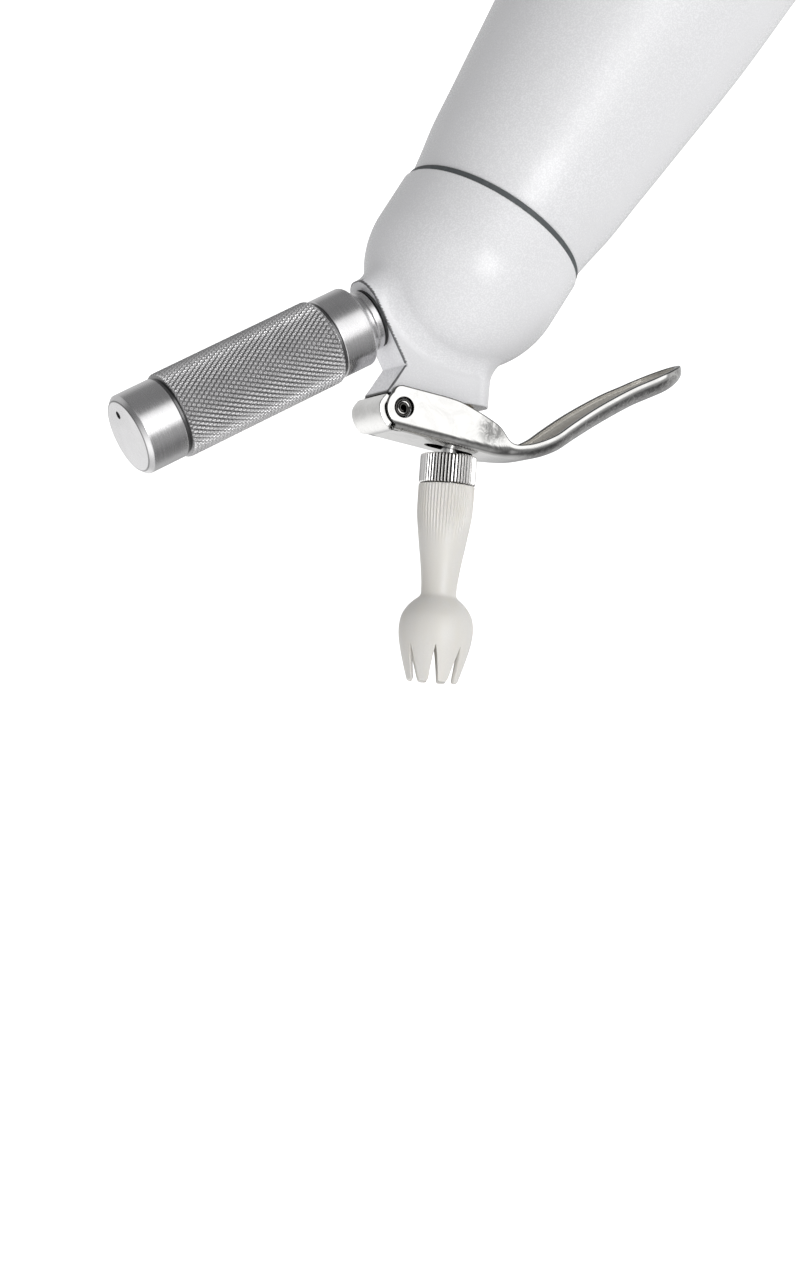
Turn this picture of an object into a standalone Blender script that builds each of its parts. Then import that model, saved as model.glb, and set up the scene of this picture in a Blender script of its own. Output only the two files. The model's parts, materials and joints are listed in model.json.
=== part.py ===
# Whipped cream dispenser, half-litre size, standing upright.
# Frame: metres, +Z up, origin at the centre of the bottle's flat bottom.
# The head's two ports lie in the plane Y = 0: the charger port leans towards +X,
# the nozzle port leans towards -X, and the lever's finger tab reaches out to -X.
import bpy
import bmesh
import math
from mathutils import Matrix, Vector

MM = 0.001

# ---------------------------------------------------------------- driving sizes (mm)
SEAM_Z = 152.0              # height of the joint line between head and bottle
WALL = 1.6                  # bottle wall
BASE_R = 33.5               # flat of the bottle's bottom
BOTTLE_MAX_R = 41.75
LEDGE_R = 28.9              # ledge under the gasket
NECK_R = 26.0
NECK_BORE_R = 23.6
NECK_TOP = SEAM_Z + 11.0
GASKET_H = 1.1

SKIRT_R = 30.05             # head skirt and dome, outside
DOME_CENTRE = SEAM_Z + 14.5
HEAD_BORE_R = 26.4
HEAD_BORE_TOP = SEAM_Z + 13.0

PORT_TILT = 29.25           # degrees from the vertical, both ports
PORT_Z = SEAM_Z + 15.6      # where the two port axes meet on the vertical axis
CHARGER_FACE = 33.1         # distance of the charger face from the meeting point
NOZZLE_FACE = 40.6          # distance of the nozzle boss face
BOSS_HALF = 8.6             # half thickness of the flat-sided boss
BOSS_END_N = 10.6           # boss end beyond the nozzle axis
BOSS_END_C = 11.8           # boss end beyond the charger axis

PIVOT_S = 43.8              # lever pivot, along the nozzle axis
PIVOT_P = 20.3              # lever pivot, across it towards the charger side
LUG_R = 4.7
PIN_R = 2.6
PIN_HOLE_R = 2.9

SHEET = 1.8                 # lever sheet thickness
LEVER_HALF = 11.0           # half width over the cheeks
WEB_R = 6.8                 # web and nose surface, distance from the pivot
WEB_SLOPE = 6.4             # degrees between the web and the square to the nozzle axis
CHEEK_R = 5.6

HOLDER_IN = 39.0            # charger holder, along the charger axis
KNURL_IN = 50.8
KNURL_OUT = 103.4
HOLDER_OUT = 117.2
HOLDER_R = 12.2
KNURL_R = 13.0
BULB_R = 9.0
BULB_TIP = 43.6
BULB_LEN = 65.0

STEM_R = 2.5
COLLAR_IN = 54.6            # nozzle adapter collar, along the nozzle axis
COLLAR_OUT = 63.3
COLLAR_R = 8.4
TIP_OUT = 122.0

SEG_BIG = 48
SEG_MID = 32
SEG_SMALL = 20

# ---------------------------------------------------------------- scene
for ob in list(bpy.data.objects):
    bpy.data.objects.remove(ob, do_unlink=True)

parts = bpy.data.collections.new("whipped_cream_dispenser")
bpy.context.scene.collection.children.link(parts)
cutters = bpy.data.collections.new("cutters")
bpy.context.scene.collection.children.link(cutters)


def material(name, colour, rough, metal):
    m = bpy.data.materials.new(name)
    m.use_nodes = True
    b = m.node_tree.nodes["Principled BSDF"]
    b.inputs["Base Color"].default_value = (*colour, 1.0)
    b.inputs["Roughness"].default_value = rough
    b.inputs["Metallic"].default_value = metal
    m.diffuse_color = (*colour, 1.0)
    return m


M_BOTTLE = material("bottle_white_coat", (0.84, 0.84, 0.85), 0.42, 0.0)
M_HEAD = material("head_white_coat", (0.85, 0.85, 0.86), 0.42, 0.0)
M_GASKET = material("grey_rubber", (0.08, 0.09, 0.09), 0.7, 0.0)
M_SEAL = material("black_rubber", (0.03, 0.03, 0.03), 0.75, 0.0)
M_STEEL = material("polished_steel", (0.78, 0.77, 0.75), 0.12, 1.0)
M_PIN = material("spring_steel", (0.35, 0.34, 0.33), 0.35, 1.0)
M_ALU = material("turned_aluminium", (0.74, 0.73, 0.73), 0.3, 1.0)
M_BRASS = material("brass", (0.72, 0.55, 0.27), 0.3, 1.0)
M_BULB = material("bulb_steel", (0.62, 0.62, 0.63), 0.3, 1.0)
M_TIP = material("ivory_plastic", (0.80, 0.78, 0.74), 0.4, 0.0)

TILT = math.radians(PORT_TILT)
ORIGIN = Matrix.Translation((0.0, 0.0, PORT_Z * MM))
NOZZLE = ORIGIN @ Matrix.Rotation(-TILT, 4, 'Y')     # local X across, local Z out
CHARGER = ORIGIN @ Matrix.Rotation(TILT, 4, 'Y')
UPRIGHT = Matrix.Identity(4)


def n_xz(s, p):
    """Point of the symmetry plane given along (s) and across (p) the nozzle axis."""
    return (-s * math.sin(TILT) + p * math.cos(TILT),
            PORT_Z + s * math.cos(TILT) + p * math.sin(TILT))


def c_xz(s, q):
    """Point of the symmetry plane along (s) the charger axis, q towards the nozzle."""
    return (s * math.sin(TILT) - q * math.cos(TILT),
            PORT_Z + s * math.cos(TILT) + q * math.sin(TILT))


PIVOT_X, PIVOT_Z = n_xz(PIVOT_S, PIVOT_P)


# ---------------------------------------------------------------- modelling helpers
def finish_mesh(me, smooth=True, angle=35.0):
    bm = bmesh.new()
    bm.from_mesh(me)
    bmesh.ops.remove_doubles(bm, verts=bm.verts, dist=1e-6)
    bmesh.ops.dissolve_degenerate(bm, dist=1e-7, edges=bm.edges)
    bmesh.ops.recalc_face_normals(bm, faces=bm.faces)
    bm.to_mesh(me)
    bm.free()
    if smooth:
        me.shade_smooth()
        me.set_sharp_from_angle(angle=math.radians(angle))
    return me


def baked(ob):
    """Mesh of the object with its modifiers, then the object is dropped."""
    bpy.context.view_layer.update()
    deps = bpy.context.evaluated_depsgraph_get()
    me = bpy.data.meshes.new_from_object(ob.evaluated_get(deps))
    data = ob.data
    bpy.data.objects.remove(ob, do_unlink=True)
    if isinstance(data, bpy.types.Mesh):
        bpy.data.meshes.remove(data)
    else:
        bpy.data.curves.remove(data)
    return me


def place(name, me, frame, mat=None, cutter=False):
    ob = bpy.data.objects.new(name, me)
    me.name = name
    ob.matrix_world = frame
    if mat is not None:
        me.materials.clear()
        me.materials.append(mat)
    if cutter:
        cutters.objects.link(ob)
        ob.hide_render = True
        ob.display_type = 'WIRE'
    else:
        parts.objects.link(ob)
    return ob


def turned(name, profile, frame, mat=None, seg=SEG_MID, cutter=False, angle=35.0):
    """Solid of revolution. profile: (radius, height) in mm, top to bottom down the
    outer side and back up the inside; a profile that meets the axis stays open there."""
    bm = bmesh.new()
    vs = [bm.verts.new((r * MM, 0.0, h * MM)) for r, h in profile]
    for a, b in zip(vs[:-1], vs[1:]):
        bm.edges.new((a, b))
    if not (profile[0][0] == 0.0 and profile[-1][0] == 0.0):
        bm.edges.new((vs[-1], vs[0]))
    me = bpy.data.meshes.new(name + "_profile")
    bm.to_mesh(me)
    bm.free()
    ob = bpy.data.objects.new(name + "_profile", me)
    bpy.context.scene.collection.objects.link(ob)
    m = ob.modifiers.new("turn", 'SCREW')
    m.axis = 'Z'
    m.steps = seg
    m.render_steps = seg
    m.use_merge_vertices = True
    m.merge_threshold = 0.00001
    return place(name, finish_mesh(baked(ob), angle=angle), frame, mat, cutter)


def outline(name, points, half, frame, mat=None, cutter=False, smooth=False):
    """Flat outline in the local XY plane (mm), extruded both ways along local Z."""
    cu = bpy.data.curves.new(name + "_outline", 'CURVE')
    cu.dimensions = '2D'
    cu.fill_mode = 'BOTH'
    cu.extrude = half * MM
    sp = cu.splines.new('POLY')
    sp.points.add(len(points) - 1)
    for q, (x, y) in zip(sp.points, points):
        q.co = (x * MM, y * MM, 0.0, 1.0)
    sp.use_cyclic_u = True
    ob = bpy.data.objects.new(name + "_outline", cu)
    bpy.context.scene.collection.objects.link(ob)
    return place(name, finish_mesh(baked(ob), smooth), frame, mat, cutter)


SIDE = Matrix.Rotation(math.radians(90.0), 4, 'X')    # local XY -> world XZ


def rod(name, r, s0, s1, frame, x=0.0, y=0.0, seg=SEG_SMALL, cutter=True, mat=None):
    """Plain cylinder along the frame's Z from s0 to s1."""
    bm = bmesh.new()
    bmesh.ops.create_cone(bm, cap_ends=True, segments=seg, radius1=r * MM, radius2=r * MM,
                          depth=(s1 - s0) * MM,
                          matrix=Matrix.Translation((x * MM, y * MM, (s0 + s1) / 2 * MM)))
    me = bpy.data.meshes.new(name)
    bm.to_mesh(me)
    bm.free()
    return place(name, finish_mesh(me), frame, mat, cutter)


def boolean(ob, other, op='DIFFERENCE'):
    m = ob.modifiers.new(op.lower() + "_" + other.name, 'BOOLEAN')
    m.operation = op
    m.object = other
    m.solver = 'EXACT'
    return m


def arc(cx, cy, r, a0, a1, n):
    return [(cx + r * math.cos(math.radians(a0 + (a1 - a0) * i / n)),
             cy + r * math.sin(math.radians(a0 + (a1 - a0) * i / n))) for i in range(n + 1)]


def through(points, n):
    """Smooth curve through the given points, n pieces between two of them."""
    out = []
    k = len(points)
    for i in range(k - 1):
        p0 = points[max(i - 1, 0)]
        p1 = points[i]
        p2 = points[i + 1]
        p3 = points[min(i + 2, k - 1)]
        for j in range(n):
            t = j / n
            out.append(tuple(0.5 * (2 * p1[c] + (p2[c] - p0[c]) * t
                                    + (2 * p0[c] - 5 * p1[c] + 4 * p2[c] - p3[c]) * t * t
                                    + (3 * p1[c] - p0[c] - 3 * p2[c] + p3[c]) * t ** 3)
                             for c in range(2)))
    out.append(tuple(points[-1]))
    return out


# ---------------------------------------------------------------- bottle
# Side of the bottle from the ledge down: a quick flare, a long belly, a round foot.
side = through([(28.9, SEAM_Z - 3.2), (30.3, SEAM_Z - 11.0), (31.9, SEAM_Z - 19.5),
                (33.4, SEAM_Z - 33.0), (36.2, SEAM_Z - 58.0), (39.3, SEAM_Z - 87.0),
                (41.1, SEAM_Z - 117.0), (BOTTLE_MAX_R, 20.0), (41.6, 13.0)], 1)
foot = arc(BASE_R, 8.1, 8.1, 0.0, -90.0, 5)
outer = [(LEDGE_R - 0.5, SEAM_Z - 1.5), (LEDGE_R, SEAM_Z - 2.0)] + side + foot
inner_foot = arc(BASE_R, 8.1, 8.1 - WALL - 0.4, -90.0, 0.0, 3)
inner = ([(0.0, 2.0)] + inner_foot + [(r - WALL, z) for r, z in reversed(side[1:-1])]
         + [(NECK_BORE_R + 2.0, SEAM_Z - 6.5), (NECK_BORE_R, SEAM_Z - 3.0), (NECK_BORE_R, NECK_TOP)])
profile = [(0.0, 0.0)] + list(reversed(outer)) + [(NECK_R, SEAM_Z - 1.5),
                                                  (NECK_R, NECK_TOP - 0.6), (NECK_R - 0.6, NECK_TOP)]
turned("bottle", profile + list(reversed(inner)), UPRIGHT, M_BOTTLE, SEG_BIG)

# ---------------------------------------------------------------- head gasket
g0 = SEAM_Z - 1.3
turned("head_gasket", [(NECK_R + 0.3, g0 + GASKET_H), (29.2, g0 + GASKET_H), (29.4, g0 + GASKET_H / 2),
                       (29.2, g0), (NECK_R + 0.3, g0)], UPRIGHT, M_GASKET, SEG_BIG)

# ---------------------------------------------------------------- head casting
# Dome and skirt, one turned shell, with a flat-sided boss that carries both ports
# and the lever's lug. The boss has round ends beyond each port.
dome = turned("head_casting",
              [(SKIRT_R * math.cos(math.radians(a)), DOME_CENTRE + SKIRT_R * math.sin(math.radians(a)))
               if a < 90 else (0.0, DOME_CENTRE + SKIRT_R) for a in [90 - 7.5 * k for k in range(13)]]
              + [(SKIRT_R, SEAM_Z + 0.7), (SKIRT_R - 0.7, SEAM_Z)]
              + [(0.0, SEAM_Z)], UPRIGHT, M_HEAD, SEG_BIG)

lug_start = math.degrees(math.asin(-1.3 / LUG_R))
boss_pts = ([c_xz(CHARGER_FACE, -BOSS_END_C), c_xz(CHARGER_FACE, 16.0),
             (PIVOT_X + 6.3, PIVOT_Z - 1.3)]
            + arc(PIVOT_X, PIVOT_Z, LUG_R, lug_start, 180.0 + PORT_TILT, 14)
            + [n_xz(NOZZLE_FACE, PIVOT_P - LUG_R), n_xz(NOZZLE_FACE, -BOSS_END_N),
               n_xz(14.0, -BOSS_END_N), c_xz(14.0, -BOSS_END_C)])
boss = outline("boss_body", boss_pts, BOSS_HALF, SIDE, cutter=True)
bm = bmesh.new()
bm.from_mesh(boss.data)
ends = []
for e in bm.edges:
    a, b = e.verts
    if abs(a.co.z - b.co.z) > 1e-6:
        continue
    for u, v in ((c_xz(CHARGER_FACE, -BOSS_END_C), c_xz(14.0, -BOSS_END_C)),
                 (n_xz(NOZZLE_FACE, -BOSS_END_N), n_xz(14.0, -BOSS_END_N))):
        hit = [min((Vector((w[0] * MM, w[1] * MM)) - q.co.xy).length for w in (u, v)) < 1e-5
               for q in (a, b)]
        if all(hit) and (a.co.xy - b.co.xy).length > 0.005:
            ends.append(e)
bmesh.ops.bevel(bm, geom=ends, offset=7.6 * MM, offset_type='OFFSET', segments=7, profile=0.5,
                affect='EDGES', clamp_overlap=True)
bm.to_mesh(boss.data)
bm.free()
finish_mesh(boss.data)
boolean(dome, boss, 'UNION')

cavity = turned("head_cavity",
                [(0.0, HEAD_BORE_TOP + HEAD_BORE_R)]
                + [(HEAD_BORE_R * math.cos(math.radians(a)), HEAD_BORE_TOP + HEAD_BORE_R * math.sin(math.radians(a)))
                   for a in range(75, -1, -15)]
                + [(HEAD_BORE_R, SEAM_Z + 0.8), (HEAD_BORE_R + 1.2, SEAM_Z - 2.0), (0.0, SEAM_Z - 2.0)],
                UPRIGHT, seg=SEG_BIG, cutter=True)
boolean(dome, cavity)
boolean(dome, rod("bush_bore", 6.0, 8.0, 60.0, NOZZLE))
boolean(dome, rod("adapter_bore", 7.0, 8.0, 60.0, CHARGER))
PIVOT = Matrix.Translation((PIVOT_X * MM, 0.0, PIVOT_Z * MM)) @ Matrix.Rotation(math.radians(90.0), 4, 'X')
boolean(dome, rod("lug_bore", PIN_HOLE_R, -20.0, 20.0, PIVOT))

# ---------------------------------------------------------------- charger port
washer_s = CHARGER_FACE + 0.3
turned("adapter_washer", [(7.3, washer_s + 0.7), (10.0, washer_s + 0.7), (10.0, washer_s), (7.3, washer_s)],
       CHARGER, M_SEAL, SEG_MID)
stub_s = washer_s + 1.0
turned("charger_adapter",
       [(4.8, 48.2), (8.7, 48.2), (9.35, 47.5), (9.35, 37.6), (9.0, 37.3), (9.0, 36.8), (9.35, 36.5),
        (9.35, stub_s + 0.3), (9.05, stub_s), (6.7, stub_s), (6.7, 24.9), (6.3, 24.5),
        (4.3, 24.5), (4.3, 28.5), (1.0, 28.5), (1.0, 35.6), (2.5, 35.6), (2.5, 39.0),
        (1.6, 39.0), (1.6, 41.0), (4.8, 41.0)], CHARGER, M_ALU, SEG_MID)
turned("piercing_pin",
       [(0.5, 45.8), (0.75, 45.8), (1.2, 44.2), (1.2, 38.6), (2.2, 38.6), (2.2, 36.0), (0.5, 36.0)],
       CHARGER, M_STEEL, 20)
turned("charger_gasket", [(2.2, 43.2), (4.5, 43.2), (4.5, 41.3), (2.2, 41.3)], CHARGER, M_SEAL, SEG_SMALL)
turned("check_valve_disc", [(0.0, 28.2), (3.6, 28.2), (3.6, 27.2), (0.0, 27.2)], CHARGER, M_SEAL, SEG_SMALL)
turned("check_valve_plug", [(1.2, 26.9), (4.0, 26.9), (4.0, 24.1), (3.6, 23.7), (1.2, 23.7)],
       CHARGER, M_BRASS, SEG_SMALL)

# ---------------------------------------------------------------- gas charger
tip = BULB_TIP
end = BULB_TIP + BULB_LEN
shoulder = through([(4.3, tip + 7.0), (5.6, tip + 8.6), (7.9, tip + 12.5), (BULB_R, tip + 17.5)], 1)
bulb_out = ([(1.7, tip), (3.9, tip), (4.3, tip + 0.4)] + shoulder
            + arc(0.0, end - BULB_R, BULB_R, 0.0, 90.0, 6)[:-1] + [(0.0, end)])
bulb_in = ([(0.0, end - 1.3)] + list(reversed(arc(0.0, end - BULB_R, BULB_R - 1.3, 0.0, 90.0, 6)[:-1]))
           + [(r - 1.3, h) for r, h in reversed(shoulder)] + [(3.0, tip + 1.6), (1.7, tip + 1.6)])
turned("gas_charger", bulb_out + bulb_in, CHARGER, M_BULB, SEG_SMALL)

# ---------------------------------------------------------------- charger holder
corner = arc(HOLDER_R - 1.6, HOLDER_OUT - 1.6, 1.6, 90.0, 0.0, 4)
inner_corner = arc(HOLDER_R - 1.0, HOLDER_IN + 1.0, 1.0, 0.0, -90.0, 3)
holder = turned("charger_holder",
                [(0.0, HOLDER_OUT)] + corner
                + [(HOLDER_R, KNURL_OUT + 0.9), (HOLDER_R - 0.5, KNURL_OUT + 0.7), (HOLDER_R - 0.5, KNURL_OUT + 0.2),
                   (KNURL_R, KNURL_OUT), (KNURL_R, KNURL_IN), (HOLDER_R - 0.5, KNURL_IN - 0.2),
                   (HOLDER_R - 0.5, KNURL_IN - 0.7), (HOLDER_R, KNURL_IN - 0.9)]
                + inner_corner
                + [(9.85, HOLDER_IN), (9.85, 50.0), (9.45, 51.0), (9.45, 109.0), (0.0, 109.0)],
                CHARGER, M_ALU, SEG_MID)
boolean(holder, rod("vent_bore", 1.2, 100.0, 125.0, CHARGER, x=6.6, seg=16))

# ---------------------------------------------------------------- nozzle valve
turned("valve_guide_bush",
       [(2.8, 41.2), (5.2, 41.2), (5.7, 40.7), (5.7, 22.6), (7.2, 22.6), (7.2, 20.8), (3.9, 20.8),
        (3.9, 25.0), (2.8, 26.0), (2.8, 35.7), (3.8, 35.7), (3.8, 38.3), (2.8, 38.3)],
       NOZZLE, M_BRASS, SEG_MID)
turned("stem_o_ring", [(3.1 + 0.45 * math.cos(math.radians(a)), 37.0 + 0.85 * math.sin(math.radians(a)))
                       for a in range(90, -270, -45)], NOZZLE, M_SEAL, SEG_SMALL)
stem = turned("valve_stem",
              [(0.0, 21.0), (1.5, 21.4), (1.5, 62.4), (2.9, 62.4), (3.2, 62.1), (3.2, 55.6), (2.5, 55.0),
               (2.5, 50.7), (2.1, 50.6), (2.1, 49.8), (2.5, 49.7), (2.5, 16.2), (2.2, 15.9), (0.0, 15.9)],
              NOZZLE, M_STEEL, SEG_SMALL)
for i, turn in enumerate((0.0, 90.0)):
    cross = NOZZLE @ Matrix.Translation((0, 0, 23.2 * MM)) @ Matrix.Rotation(math.radians(turn), 4, 'Z') \
        @ Matrix.Rotation(math.radians(90.0), 4, 'Y')
    boolean(stem, rod("stem_port_%d" % i, 1.0, -6.0, 6.0, cross, seg=16))
turned("valve_head", [(2.8, 18.4), (4.6, 18.4), (5.0, 18.0), (5.0, 16.4), (4.6, 16.0), (2.8, 16.0)],
       NOZZLE, M_BRASS, SEG_SMALL)
turned("valve_seal", [(2.8, 20.5), (5.0, 20.5), (5.4, 19.6), (5.4, 18.7), (2.8, 18.7)], NOZZLE, M_SEAL, SEG_SMALL)
turned("stem_flange", [(2.8, 49.7), (5.2, 49.7), (5.6, 49.3), (5.6, 48.5), (2.8, 48.5)], NOZZLE, M_STEEL, SEG_SMALL)
turned("flange_clip", [(2.35, 50.45), (3.5, 50.45), (3.5, 49.95), (2.35, 49.95)], NOZZLE, M_PIN, SEG_SMALL)

# Return spring: a flat-ended coil between the guide bush and the stem flange.
wire = 0.45
coil_r = 4.1
s0, s1 = 41.5 + wire, 48.2 - wire
turns, per = 4.5, 12
cu = bpy.data.curves.new("valve_spring_path", 'CURVE')
cu.dimensions = '3D'
cu.bevel_depth = wire * MM
cu.bevel_resolution = 2
cu.use_fill_caps = True
sp = cu.splines.new('POLY')
count = int(turns * per) + 1
sp.points.add(count - 1)
for i in range(count):
    a = 2 * math.pi * i / per
    f = i / (count - 1)
    lift = 0.5 - 0.5 * math.cos(math.pi * min(max((f - 0.1) / 0.8, 0.0), 1.0))
    rise = 0.2 * f + 0.8 * (0.35 * lift + 0.65 * min(max((f - 0.1) / 0.8, 0.0), 1.0))
    sp.points[i].co = (coil_r * math.cos(a) * MM, coil_r * math.sin(a) * MM, (s0 + (s1 - s0) * rise) * MM, 1.0)
tmp = bpy.data.objects.new("valve_spring_path", cu)
bpy.context.scene.collection.objects.link(tmp)
place("valve_spring", finish_mesh(baked(tmp), angle=60.0), NOZZLE, M_STEEL)

# ---------------------------------------------------------------- nozzle
turned("adapter_seal", [(1.7, 63.5), (3.3, 63.5), (3.3, 62.7), (1.7, 62.7)], NOZZLE, M_SEAL, SEG_SMALL)
turned("nozzle_adapter",
       [(2.0, 71.0), (4.6, 71.0), (5.0, 70.6), (5.0, COLLAR_OUT), (COLLAR_R - 0.3, COLLAR_OUT),
        (COLLAR_R, COLLAR_OUT - 0.3), (COLLAR_R, COLLAR_IN + 0.5), (COLLAR_R - 0.5, COLLAR_IN),
        (3.6, COLLAR_IN), (3.6, 63.8), (2.0, 63.8)], NOZZLE, M_ALU, SEG_MID)
neck = [(8.35, COLLAR_OUT + 0.3), (8.1, 72.4), (7.3, 79.5), (6.2, 86.7), (5.6, 91.5), (5.5, 94.6)]
bowl = [(5.9, 96.0), (7.4, 97.8), (9.3, 100.3), (10.6, 102.8), (10.93, 106.4), (10.5, 110.6), (9.6, 115.6),
        (8.3, TIP_OUT)]
bowl_in = [(7.1, TIP_OUT), (8.5, 115.4), (9.5, 110.4), (9.9, 106.4), (9.2, 102.6), (6.4, 98.9), (3.4, 96.5)]
nozzle_tip = turned("nozzle_tip",
                    list(reversed(neck + bowl)) + [(5.35, COLLAR_OUT + 0.3), (5.35, 71.6), (3.5, 72.6), (3.2, 94.0)]
                    + list(reversed(bowl_in)), NOZZLE, M_TIP, SEG_MID, angle=50.0)
for i in range(4):
    a = 22.5 + 45.0 * i
    vee = NOZZLE @ Matrix.Rotation(math.radians(a), 4, 'Z') @ SIDE
    boolean(nozzle_tip, outline("petal_notch_%d" % i, [(0.0, 111.0), (1.9, 124.0), (-1.9, 124.0)], 16.0, vee,
                                cutter=True))

# ---------------------------------------------------------------- lever
# Pressed channel: flat web with a cheek on each side of the boss, then a dished
# finger tab. Sections are lofted along the web's outer line and given the sheet's
# thickness inwards; local frame: X across the nozzle axis, Z along it.
slope = math.radians(WEB_SLOPE)
web0 = (PIVOT_S + WEB_R * math.cos(slope), PIVOT_P + WEB_R * math.sin(slope))


def web_point(p):
    t = (web0[1] - p) / math.cos(slope)
    return (web0[0] + t * math.sin(slope), p)


line_pts = [web_point(27.5), web_point(18.0), web_point(9.0), web_point(4.0), web_point(-1.0),
            web_point(-6.0), web_point(-11.0), (54.2, -15.5),
            (53.9, -20.8), (52.5, -26.5), (49.8, -32.7), (45.8, -38.2), (41.4, -44.3), (37.0, -50.8),
            (32.9, -57.3), (29.7, -63.2), (26.8, -68.2), (24.4, -71.9), (22.0, -75.4)]
# height of the rim above the outer line and half width of the section, per station
rim_h = [13.2, 13.2, 13.1, 12.8, 11.6, 10.1, 8.0, 5.2,
         4.3, 4.6, 5.1, 5.4, 5.6, 5.6, 5.5, 5.4, 5.4, 5.4, 5.4]
half_w = [LEVER_HALF] * 19
corner_a = [2.6] * 5 + [2.7, 2.9, 3.8, 5.2, 6.4, 8.2, 8.8, 9.0, 9.0, 9.0, 8.8, 8.6, 8.4, 8.2]

line = through(line_pts, 2)
heights = [v for v, _ in through([(v, 0.0) for v in rim_h], 2)]
widths = [v for v, _ in through([(v, 0.0) for v in half_w], 2)]
corners = [v for v, _ in through([(v, 0.0) for v in corner_a], 2)]


def section(w, h, a):
    """Half-open section from one rim to the other: (y, depth), depth 0 at the web."""
    b = min(a, h - 1.0)
    half = [(w, h), (w, (h + b) / 2)]
    for k in range(0, 5):
        q = math.radians(22.5 * k)
        half.append((w - a + a * math.cos(q), b - b * math.sin(q)))
    half.append(((w - a) * 0.5, 0.0))
    return half + [(0.0, 0.0)] + [(-y, d) for y, d in reversed(half)]


bm = bmesh.new()
rows = []
for i, (s, p) in enumerate(line):
    a = line[max(i - 1, 0)]
    b = line[min(i + 1, len(line) - 1)]
    t = Vector((b[0] - a[0], b[1] - a[1])).normalized()
    inward = Vector((t.y, -t.x))              # towards the bottle
    if inward.x > 0:
        inward = -inward
    row = []
    for y, d in section(widths[i], heights[i], min(corners[i], widths[i] * 0.95)):
        row.append(bm.verts.new(((p + inward.y * d) * MM, y * MM, (s + inward.x * d) * MM)))
    rows.append(row)
for r0, r1 in zip(rows[:-1], rows[1:]):
    for j in range(len(r0) - 1):
        bm.faces.new((r0[j], r0[j + 1], r1[j + 1], r1[j]))
bmesh.ops.recalc_face_normals(bm, faces=bm.faces)
mid = rows[6][len(rows[12]) // 2]
if mid.normal.length == 0:
    bm.normal_update()
if mid.normal.z < 0:
    bmesh.ops.reverse_faces(bm, faces=bm.faces)
me = bpy.data.meshes.new("lever")
bm.to_mesh(me)
bm.free()
me.shade_smooth()
me.set_sharp_from_angle(angle=math.radians(40.0))
lever = place("lever", me, NOZZLE, M_STEEL)
m = lever.modifiers.new("sheet", 'SOLIDIFY')
m.thickness = SHEET * MM
m.offset = -1.0
m.use_even_offset = True

# Hinge end: the cheeks end in an arc about the pivot, the web stops at the pivot line.
bite = ([(PIVOT_P, PIVOT_S + 16.0)] + [(PIVOT_P, PIVOT_S + CHEEK_R)]
        + [(PIVOT_P + CHEEK_R * math.sin(math.radians(a)), PIVOT_S + CHEEK_R * math.cos(math.radians(a)))
           for a in range(10, 140, 10)]
        + [(PIVOT_P + 2.6, 32.0), (PIVOT_P + 22.0, 32.0), (PIVOT_P + 22.0, PIVOT_S + 16.0)])
boolean(lever, outline("cheek_end", bite, 20.0, NOZZLE @ SIDE, cutter=True))

# Finger end: rounded in plan.
tip_cut = ([(-62.0, -14.0), (-62.0, -11.6)]
           + [(-62.2 - 10.8 * math.sin(math.radians(a)), -11.4 * math.cos(math.radians(a)))
              for a in range(0, 181, 15)]
           + [(-62.0, 11.6), (-62.0, 14.0), (-95.0, 14.0), (-95.0, -14.0)])
boolean(lever, outline("finger_end", tip_cut, 60.0, NOZZLE, cutter=True))

# Nose: the web's end flange wraps round the hinge between the cheeks.
nose = []
for r, rng in ((WEB_R, range(0, 13)), (WEB_R - SHEET, range(12, -1, -1))):
    for k in rng:
        a = math.radians(WEB_SLOPE + (127.0 - WEB_SLOPE) * k / 12)
        nose.append((PIVOT_P + r * math.sin(a), PIVOT_S + r * math.cos(a)))
back = 4.0
dx, dz = -back * math.cos(slope), back * math.sin(slope)
r_in = WEB_R - SHEET
nose = ([(PIVOT_P + WEB_R * math.sin(slope) + dx, PIVOT_S + WEB_R * math.cos(slope) + dz)] + nose
        + [(PIVOT_P + r_in * math.sin(slope) + dx, PIVOT_S + r_in * math.cos(slope) + dz)])
# slightly thinner than the sheet where it runs into it, so that no faces coincide
nose[0] = (nose[0][0], nose[0][1] - 0.15)
nose[-1] = (nose[-1][0], nose[-1][1] + 0.15)
boolean(lever, outline("nose_flange", nose, BOSS_HALF, NOZZLE @ SIDE, cutter=True), 'UNION')
boolean(lever, rod("cheek_bore", PIN_HOLE_R, -20.0, 20.0, PIVOT))
slot = ([(x - 0.7 if x < 0 else x, y) for x, y in arc(4.7, 0.0, 3.3, -90.0, 90.0, 8)]
        + arc(-0.7, 0.0, 3.3, 90.0, 270.0, 8))
boolean(lever, outline("stem_slot", slot, 6.0, NOZZLE @ Matrix.Translation((0, 0, 52.0 * MM)), cutter=True))

# Lever pin: a rolled spring pin with its open seam.
pin = turned("lever_pin", [(1.5, 10.5), (2.3, 10.5), (2.6, 10.1), (2.6, -10.1), (2.3, -10.5), (1.5, -10.5)],
             PIVOT, M_PIN, SEG_SMALL)
seam = PIVOT @ Matrix.Rotation(math.radians(-60.0), 4, 'Z')
boolean(pin, outline("pin_seam", [(0.8, -0.4), (4.0, -0.4), (4.0, 0.4), (0.8, 0.4)], 15.0, seam, cutter=True))
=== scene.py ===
import json
import math

import bpy
import bmesh
import numpy as np
from mathutils import Matrix, Vector

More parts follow.
